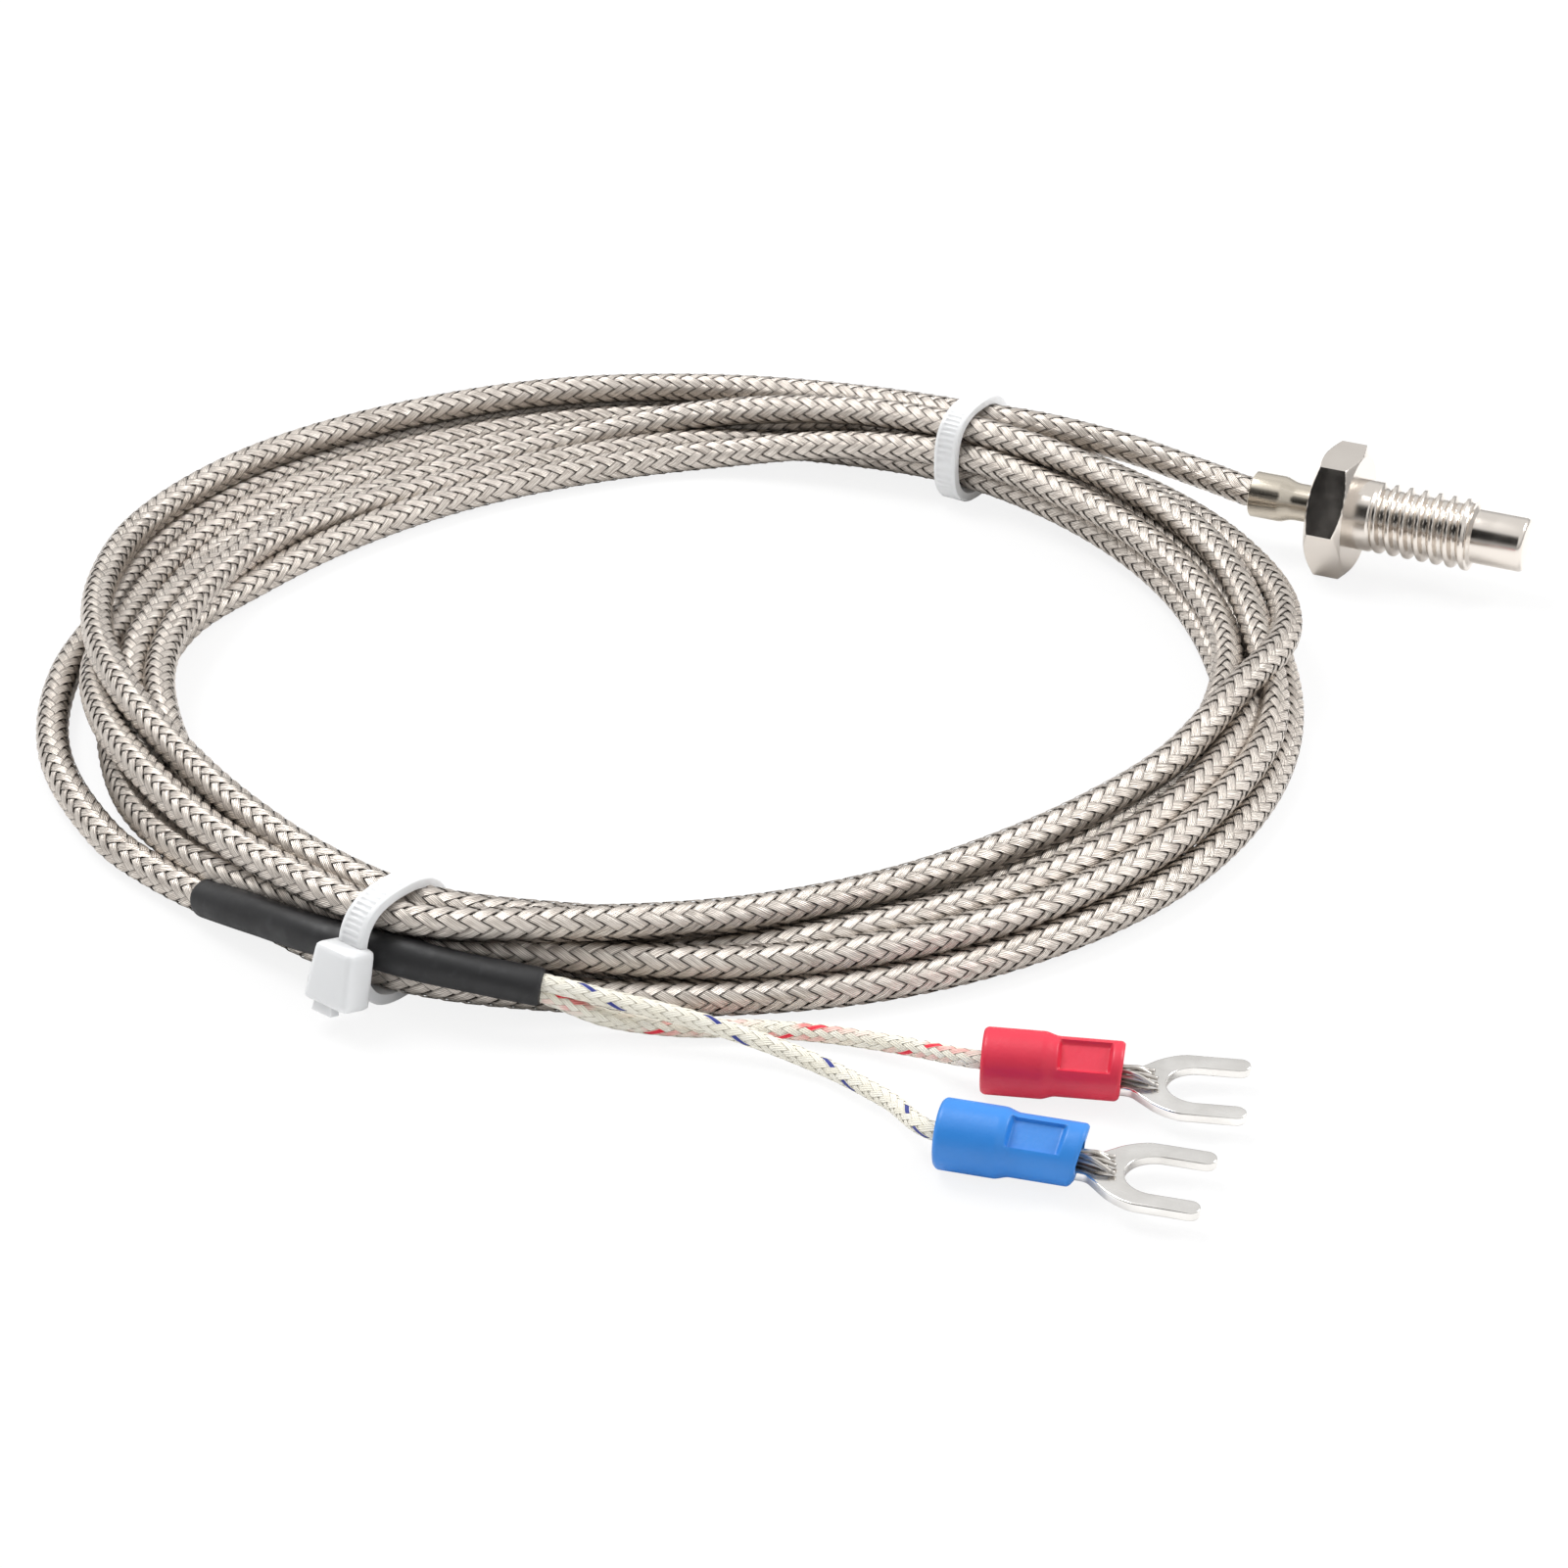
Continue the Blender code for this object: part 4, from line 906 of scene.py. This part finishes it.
def make_vinyl_sleeve(colour, material):
    """The sleeve: a wide mouth, a soft shoulder, a flattened grip and the crimp's dent."""
    mouth = TERMINALS[colour]["diameter"] / 2
    grip = mouth - GRIP_STEP
    wall = SLEEVE_WALL
    rings, sides = 96, 96
    data = bmesh.new()
    skin = []
    for row in range(rings + 1):
        x = INSULATION_LENGTH * row / rings
        share = min(1.0, max(0.0, (x - INSULATION_MOUTH_LENGTH) / SHOULDER_LENGTH))
        soft = share * share * (3 - 2 * share)
        radius = mouth + (grip - mouth) * soft
        edge = min(x, INSULATION_LENGTH - x)
        radius -= EDGE_DEPTH * max(0.0, 1 - edge / EDGE_LENGTH) ** 2
        ring = []
        for side in range(sides):
            angle = 2 * math.pi * side / sides
            y, z = radius * math.cos(angle), radius * math.sin(angle)
            depth = crimp_depth(x, y, z, grip, TERMINALS[colour]["dent"])
            y += depth * math.sin(DENT_TILT)
            z -= depth * math.cos(DENT_TILT)
            slanted = x + TERMINALS[colour]["slant"] * z * (x / INSULATION_LENGTH) ** 2
            ring.append(data.verts.new((slanted, y, mouth + z)))
        skin.append(ring)
    bore = []
    funnel = [
        (INSULATION_LENGTH, SLEEVE_BORE),
        (4.4 * MM, SLEEVE_BORE),
        (3.5 * MM, mouth - wall),
        (0.0, mouth - wall),
    ]
    for x, radius in funnel:
        ring = []
        for side in range(sides):
            angle = 2 * math.pi * side / sides
            ring.append(data.verts.new((x, radius * math.cos(angle), mouth + radius * math.sin(angle))))
        bore.append(ring)
    rows = skin + bore
    for first, second in zip(rows, rows[1:] + rows[:1]):
        for side in range(sides):
            after = (side + 1) % sides
            data.faces.new((first[side], first[after], second[after], second[side]))
    bmesh.ops.recalc_face_normals(data, faces=data.faces)
    data.transform(terminal_frame(colour))
    mesh = bpy.data.meshes.new(colour + "_sleeve")
    data.to_mesh(mesh)
    data.free()
    mesh.shade_smooth()
    mesh.set_sharp_from_angle(angle=math.radians(55))
    node = colour + "_insulating_sleeve"
    return add_piece(colour + "_vinyl_sleeve", mesh, material, colour + "_vinyl", node)


def crimp_depth(x, y, z, grip, middle):
    """How far the crimping tool has pressed the sleeve in at a point."""
    aside = y * math.cos(DENT_TILT) + z * math.sin(DENT_TILT)
    above = z * math.cos(DENT_TILT) - y * math.sin(DENT_TILT)
    if above <= 0:
        return 0.0
    reach = max(abs(x - middle) / DENT_HALF_SIZE[0], abs(aside) / DENT_HALF_SIZE[1])
    wall = min(1.0, max(0.0, (1.12 - reach) / 0.16))
    floor_height = grip - DENT_DEPTH
    return wall * wall * (3 - 2 * wall) * max(0.0, above - floor_height)


def tinned_material():
    """Bright tin over stamped copper, with fine scratches along the fork."""
    material, shader, nodes = new_material("bright_tin")
    place = nodes.place()
    scratches = stretched_noise(nodes, place, (250.0, 2600.0, 900.0), 4.0)
    cloud = nodes.noise(place, 450.0, 3.0)
    nodes.join(nodes.mix(cloud, (0.62, 0.60, 0.57, 1), (0.90, 0.885, 0.86, 1)), shader.inputs["Base Color"])
    shader.inputs["Metallic"].default_value = 1.0
    nodes.join(nodes.remap(scratches, 0.3, 0.7, 0.1, 0.28), shader.inputs["Roughness"])
    dents = nodes.bump(cloud, 0.4, 0.05 * MM)
    nodes.join(nodes.bump(scratches, 0.25, 0.012 * MM, dents), shader.inputs["Normal"])
    return material


def arc(centre, radius, start, end, steps):
    """Points on an arc, angles in degrees."""
    points = []
    for step in range(steps + 1):
        angle = math.radians(start + (end - start) * step / steps)
        points.append((centre[0] + radius * math.cos(angle), centre[1] + radius * math.sin(angle)))
    return points


def bezier(start, control, end, steps):
    """Points on a quadratic curve, without its last point."""
    points = []
    for step in range(steps):
        t = step / steps
        shares = ((1 - t) ** 2, 2 * t * (1 - t), t * t)
        corners = zip(start, control, end)
        points.append(tuple(sum(s * v for s, v in zip(shares, values)) for values in corners))
    return points


def fork_outline():
    """The stamped fork: a waisted neck, round shoulders and two tines with blunt ends."""
    neck, side, slot = FORK_NECK / 2, FORK_WIDTH / 2, FORK_SLOT / 2
    start = INSULATION_LENGTH - FORK_INSIDE
    shoulder = INSULATION_LENGTH + FORK_SHOULDER
    tip = INSULATION_LENGTH + FORK_REACH
    tine = (side - slot) / 2
    middle = (side + slot) / 2
    half = [(start, -neck)]
    waist, flare = (start + 1.4 * MM, -neck), (start + 3.4 * MM, -neck - 1.5 * MM)
    half += bezier(waist, (waist[0] + 0.5 * MM, -neck), (waist[0] + 0.8 * MM, -neck - 0.35 * MM), 4)
    half += bezier(flare, (shoulder + 0.5 * MM, -side), (shoulder + 1.5 * MM, -side), 8)
    half += arc((tip - tine * 0.8, -middle), tine, -90, 90, 12)
    slot_side = arc((shoulder + slot, 0.0), slot, 270, 90, 32)
    mirrored = [(x, -y) for x, y in reversed(half)]
    return half + slot_side + mirrored


def make_fork(colour, material):
    """The stamped fork with softened edges, and its rolled barrel."""
    axis = TERMINALS[colour]["diameter"] / 2
    underside = axis - BARREL_RADIUS
    data = bmesh.new()
    base = [data.verts.new((x, y, underside)) for x, y in fork_outline()]
    face = data.faces.new(base)
    grown = bmesh.ops.extrude_face_region(data, geom=[face])
    top = [item for item in grown["geom"] if isinstance(item, bmesh.types.BMVert)]
    bmesh.ops.translate(data, verts=top, vec=(0.0, 0.0, FORK_THICKNESS))
    bmesh.ops.recalc_face_normals(data, faces=data.faces)
    rims = [edge for edge in data.edges if abs(edge.verts[0].co.z - edge.verts[1].co.z) < 1e-7]
    bmesh.ops.bevel(data, geom=rims, offset=0.12 * MM, segments=3, affect="EDGES", profile=0.6)
    rings, sides = 4, 48
    ends = (BARREL_START, INSULATION_LENGTH - BARREL_INSET)
    turns = [2 * math.pi * s / sides for s in range(sides)]
    for inner in (False, True):
        radius = BARREL_RADIUS - (BARREL_WALL if inner else 0.0)
        loops = []
        for row in range(rings + 1):
            x = ends[0] + (ends[1] - ends[0]) * row / rings
            places = [(x, radius * math.cos(a), axis + radius * math.sin(a)) for a in turns]
            loops.append([data.verts.new(place) for place in places])
        for first, second in zip(loops, loops[1:]):
            for s in range(sides):
                after = (s + 1) % sides
                order = (first[s], second[s], second[after], first[after])
                data.faces.new(order if inner else order[::-1])
        if inner:
            rims_inner = (loops[0], loops[-1])
        else:
            rims_outer = (loops[0], loops[-1])
    for end in (0, 1):
        for s in range(sides):
            after = (s + 1) % sides
            order = (rims_outer[end][s], rims_outer[end][after], rims_inner[end][after], rims_inner[end][s])
            data.faces.new(order if end else order[::-1])
    data.transform(terminal_frame(colour))
    mesh = bpy.data.meshes.new(colour + "_fork")
    data.to_mesh(mesh)
    data.free()
    mesh.shade_smooth()
    mesh.set_sharp_from_angle(angle=math.radians(40))
    return add_piece(colour + "_fork", mesh, material, "tinned_copper", colour + "_fork_terminal")


def strand_material():
    """Bare alloy strands, grey and slightly tarnished."""
    material, shader, nodes = new_material("bare_strands")
    place = nodes.place()
    cloud = nodes.noise(place, 1500.0, 3.0)
    nodes.join(nodes.mix(cloud, (0.42, 0.39, 0.36, 1), (0.75, 0.72, 0.68, 1)), shader.inputs["Base Color"])
    shader.inputs["Metallic"].default_value = 1.0
    nodes.join(nodes.remap(cloud, 0.3, 0.7, 0.25, 0.4), shader.inputs["Roughness"])
    nodes.join(nodes.bump(cloud, 0.2, 0.01 * MM), shader.inputs["Normal"])
    return material


def make_strands(colour, material):
    """Seven bare strands that come out of the barrel and splay over the fork's neck."""
    axis = TERMINALS[colour]["diameter"] / 2 / MM
    matrix = np.array(terminal_frame(colour))
    meshes = []
    for index in range(STRANDS):
        angle = math.radians(60 * index + 20)
        spread = 0.0 if index == STRANDS - 1 else 0.36
        y0, z0 = spread * math.cos(angle), spread * math.sin(angle)
        splay = 1.0 + 0.9 * (((index * 37) % 10) / 10)
        reach = 11.1 + 0.9 * (((index * 53) % 10) / 10)
        height = max(axis - 0.25, axis + z0 - 0.3 * splay)
        points = [
            (3.3, y0, axis + z0),
            (7.0, y0, axis + z0),
            (9.6, y0 * 1.1, axis + z0 * 1.05),
            (10.4, y0 * 1.5 * splay, axis + z0 * 0.9),
            (reach, y0 * 2.4 * splay, height - 0.1),
        ]
        path = smooth_path(points, 8) * MM
        path = path @ matrix[:3, :3].T + matrix[:3, 3]
        meshes.append(tube_mesh(colour + "_strand", path, np.full((len(path), 1), STRAND_RADIUS), 10))
    data = bmesh.new()
    for mesh in meshes:
        data.from_mesh(mesh)
    joined = bpy.data.meshes.new(colour + "_strands")
    data.to_mesh(joined)
    data.free()
    joined.shade_smooth()
    return add_piece(colour + "_bare_strands", joined, material, "bare_strands", colour + "_wire_strands")


vinyls = {
    "red": vinyl_material("red_vinyl", (0.62, 0.012, 0.04, 1), (0.78, 0.02, 0.06, 1)),
    "blue": vinyl_material("blue_vinyl", (0.016, 0.19, 0.60, 1), (0.026, 0.25, 0.74, 1)),
}
tin = tinned_material()
bare = strand_material()
for colour in TERMINALS:
    sleeve = make_vinyl_sleeve(colour, vinyls[colour])
    make_fork(colour, tin)
    make_strands(colour, bare)

# Inside of the head
# Two alloy wires run in a twin-bore ceramic rod from the cable to the tip, where they are
# welded in a bead. None of it shows on the closed probe, and the CAD shapes are kept.


def ceramic_material():
    """White fired alumina, matt and faintly speckled."""
    material, shader, nodes = new_material("alumina")
    place = nodes.place()
    speck = nodes.noise(place, 2000.0, 3.0)
    nodes.join(nodes.mix(speck, (0.72, 0.70, 0.66, 1), (0.86, 0.84, 0.80, 1)), shader.inputs["Base Color"])
    shader.inputs["Roughness"].default_value = 0.6
    return material


def dress_node(node, material):
    """Put a material on a CAD shape that the scene keeps."""
    shape = bpy.data.objects[node]
    shape.data.materials.clear()
    shape.data.materials.append(material)


dress_node("twin_bore_insulator", ceramic_material())
dress_node("positive_wire", bare)
dress_node("negative_wire", bare)
dress_node("junction_bead", bare)

# Cable ties
# Natural nylon, moulded in one piece and pulled tight: a thin strap with fine cross ridges
# on its outer face, a boxy ratchet head, and the cut end of the strap in it.

STRAP_WIDTH = 2.1 * MM
STRAP_THICKNESS = 0.75 * MM
FLOOR_GAP = 0.05 * MM
RIDGE_DEPTH = 0.08 * MM
RAIL_WIDTH = 0.35 * MM
HEAD_BEVEL = 0.55 * MM
STUB_BEVEL = 0.12 * MM
TIE_STEPS = 216
TIES = {
    "front": {
        "angle": 246.1,
        "skew": -14.8,
        "middle": 48.65 * MM,
        "opening": (7.8 * MM, 7.3 * MM),
        "head_height": 4.0 * MM,
        "head_tilt": -18.0,
    },
    "back": {
        "angle": 57.2,
        "skew": 0.0,
        "middle": 44.1 * MM,
        "opening": (8.0 * MM, 7.5 * MM),
        "head_height": 3.4 * MM,
        "head_tilt": 0.0,
    },
}
HEAD_SIZE = (2.7 * MM, 4.2 * MM, 4.3 * MM)
HEAD_STANDOFF = 0.25 * MM
HEAD_TAPER = 0.82
STUB_SIZE = (0.9 * MM, 1.89 * MM, 1.1 * MM)
STUB_OFFSET = (0.35 * MM, -0.5 * MM, -2.4 * MM)


def nylon_material():
    """Cloudy, faintly blue-white nylon that lets light through."""
    material, shader, nodes = new_material("natural_nylon")
    place = nodes.place()
    cloud = nodes.noise(place, 300.0, 3.0)
    nodes.join(nodes.mix(cloud, (0.68, 0.69, 0.70, 1), (0.78, 0.785, 0.79, 1)), shader.inputs["Base Color"])
    nodes.join(nodes.remap(cloud, 0.3, 0.7, 0.28, 0.42), shader.inputs["Roughness"])
    shader.inputs["Subsurface Weight"].default_value = 0.5
    shader.inputs["Subsurface Radius"].default_value = (1.0, 1.0, 1.0)
    shader.inputs["Subsurface Scale"].default_value = 0.8 * MM
    nodes.join(nodes.bump(nodes.noise(place, 2500.0, 2.0), 0.15, 0.01 * MM), shader.inputs["Normal"])
    return material


def rounded_loop(half_width, half_height, count, squareness=2.6):
    """Points of a closed loop between an ellipse and a rectangle."""
    angles = 2 * np.pi * np.arange(count) / count
    across, up = np.cos(angles), np.sin(angles)
    return np.column_stack(
        [
            half_width * np.sign(across) * np.abs(across) ** (2 / squareness),
            half_height * np.sign(up) * np.abs(up) ** (2 / squareness),
        ]
    )


def make_tie(name, material):
    """The closed strap with its ridges, and the ratchet head with the strap's cut end."""
    tie = TIES[name]
    half_width, half_height = tie["opening"][0] / 2, tie["opening"][1] / 2
    centre = FLOOR_GAP + STRAP_THICKNESS + half_height
    count = TIE_STEPS
    inner = rounded_loop(half_width, half_height, count)
    outer = rounded_loop(half_width + STRAP_THICKNESS, half_height + STRAP_THICKNESS, count)
    groove = STRAP_THICKNESS - RIDGE_DEPTH
    ridge = rounded_loop(half_width + groove, half_height + groove, count)
    data = bmesh.new()
    half = STRAP_WIDTH / 2
    rail = half - RAIL_WIDTH
    rings = []
    for step in range(count):
        crest = outer[step] if step % 4 < 2 else ridge[step]
        profile = [
            (inner[step], -half + 0.12 * MM),
            (inner[step] * 0.97 + outer[step] * 0.03, -half),
            (outer[step] * 0.9 + inner[step] * 0.1, -half),
            (outer[step], -half + 0.1 * MM),
            (outer[step], -rail),
            (crest, -rail + 0.06 * MM),
            (crest, rail - 0.06 * MM),
            (outer[step], rail),
            (outer[step], half - 0.1 * MM),
            (outer[step] * 0.9 + inner[step] * 0.1, half),
            (inner[step] * 0.97 + outer[step] * 0.03, half),
            (inner[step], half - 0.12 * MM),
        ]
        rings.append([data.verts.new((place[0], y, centre + place[1])) for place, y in profile])
    for first, second in zip(rings, rings[1:] + rings[:1]):
        for index in range(len(first)):
            after = (index + 1) % len(first)
            data.faces.new((first[index], second[index], second[after], first[after]))
    add_ratchet_head(data, tie)
    bmesh.ops.recalc_face_normals(data, faces=data.faces)
    skew = Matrix.Rotation(math.radians(tie["skew"]), 4, "Z")
    place = Matrix.Translation((tie["middle"], 0.0, 0.0))
    data.transform(COIL_FRAME @ Matrix.Rotation(math.radians(tie["angle"]), 4, "Z") @ place @ skew)
    mesh = bpy.data.meshes.new(name + "_tie")
    data.to_mesh(mesh)
    data.free()
    mesh.shade_smooth()
    mesh.set_sharp_from_angle(angle=math.radians(40))
    return add_piece(name + "_nylon_tie", mesh, material, "nylon", name + "_cable_tie")


def add_ratchet_head(data, tie):
    """The head outside the strap, a bevelled block, and the strap's cut end below it."""
    reach = tie["opening"][0] / 2 + HEAD_STANDOFF + HEAD_SIZE[0] / 2
    tilt = Matrix.Rotation(math.radians(tie["head_tilt"]), 4, "Y")
    place = Matrix.Translation((reach, 0.0, tie["head_height"])) @ tilt
    blocks = ((HEAD_SIZE, (0.0, 0.0, 0.0), HEAD_BEVEL), (STUB_SIZE, STUB_OFFSET, STUB_BEVEL))
    for size, offset, bevel in blocks:
        box = bmesh.new()
        bmesh.ops.create_cube(box, size=1.0)
        bmesh.ops.scale(box, vec=size, verts=box.verts)
        for corner in box.verts:
            if corner.co.z > 0:
                corner.co.y *= HEAD_TAPER
        bmesh.ops.bevel(box, geom=box.edges[:], offset=bevel, segments=3, affect="EDGES", profile=0.6)
        box.transform(place @ Matrix.Translation(offset))
        part = bpy.data.meshes.new("head_part")
        box.to_mesh(part)
        box.free()
        data.from_mesh(part)


nylon = nylon_material()
ties = [make_tie(name, nylon) for name in TIES]

# Cords
# The cable leaves the head's sleeve and ends in the heat-shrunk joint. The leads leave
# that joint and end in their terminals.


# Floor and light
# A white sweep under soft studio light: one large lamp above and behind, a low one from
# the right, and a white surround with the dark of the camera's side of the room in it.


def make_floor():
    """A white floor that shows as white and keeps a soft shadow."""
    mesh = bpy.data.meshes.new("floor")
    size = 3.0
    corners = [(-size, -size, 0), (size, -size, 0), (size, size, 0), (-size, size, 0)]
    mesh.from_pydata(corners, [], [(0, 1, 2, 3)])
    material = bpy.data.materials.new("white_floor")
    material.use_nodes = True
    nodes = Nodes(material.node_tree)
    material.node_tree.nodes.remove(material.node_tree.nodes["Principled BSDF"])
    diffuse = nodes.add("ShaderNodeBsdfDiffuse")
    diffuse.inputs["Color"].default_value = (0.9, 0.9, 0.9, 1)
    white = nodes.add("ShaderNodeEmission")
    share = nodes.add("ShaderNodeMixShader")
    seen = nodes.add("ShaderNodeLightPath").outputs["Is Camera Ray"]
    nodes.join(nodes.math("MULTIPLY", seen, 0.86), share.inputs[0])
    nodes.join(diffuse.outputs[0], share.inputs[1])
    nodes.join(white.outputs[0], share.inputs[2])
    output = material.node_tree.nodes["Material Output"]
    nodes.join(share.outputs[0], output.inputs["Surface"])
    mesh.materials.append(material)
    floor = bpy.data.objects.new("floor", mesh)
    floor.location.z = -0.0001
    bpy.context.collection.objects.link(floor)


def make_world():
    """A white room for light and reflections, darker around the camera."""
    world = bpy.data.worlds.new("studio")
    world.use_nodes = True
    bpy.context.scene.world = world
    nodes = Nodes(world.node_tree)
    background = world.node_tree.nodes["Background"]
    direction = nodes.add("ShaderNodeTexCoord").outputs["Generated"]
    toward = nodes.add("ShaderNodeVectorMath", operation="DOT_PRODUCT")
    nodes.join(direction, toward.inputs[0])
    toward.inputs[1].default_value = (-0.24, -0.81, 0.54)
    dark = nodes.remap(toward.outputs["Value"], 0.90, 0.96)
    split = nodes.add("ShaderNodeSeparateXYZ")
    nodes.join(direction, split.inputs[0])
    ground = nodes.remap(split.outputs[2], 0.05, 0.5, 0.4, 1.0)
    grey = nodes.math("MULTIPLY", ground, nodes.remap(dark, 0.0, 1.0, 1.0, 0.005))
    colour = nodes.add("ShaderNodeCombineColor")
    for index in range(3):
        nodes.join(grey, colour.inputs[index])
    path = nodes.add("ShaderNodeLightPath")
    seen = nodes.mix(path.outputs["Is Camera Ray"], colour.outputs[0], (1, 1, 1, 1))
    nodes.join(seen, background.inputs["Color"])
    strength = nodes.remap(path.outputs["Is Camera Ray"], 0.0, 1.0, 0.93, 1.0)
    nodes.join(strength, background.inputs["Strength"])


def make_lamp(name, place, aim, size, power):
    """A square soft box that looks at a point."""
    data = bpy.data.lights.new(name, "AREA")
    data.shape = "SQUARE"
    data.size = size
    data.energy = power
    lamp = bpy.data.objects.new(name, data)
    lamp.location = COIL_FRAME @ Vector(place)
    direction = COIL_FRAME @ Vector(aim) - lamp.location
    lamp.rotation_euler = direction.to_track_quat("-Z", "Y").to_euler()
    bpy.context.collection.objects.link(lamp)


make_floor()
make_world()
make_lamp("key", (-0.25, 0.15, 0.55), (0.0, 0.0, 0.0), 0.30, 2.4)
make_lamp("rim", (0.45, 0.10, 0.35), (0.0, 0.0, 0.0), 0.20, 1.2)

bpy.context.scene.view_settings.view_transform = "Standard"
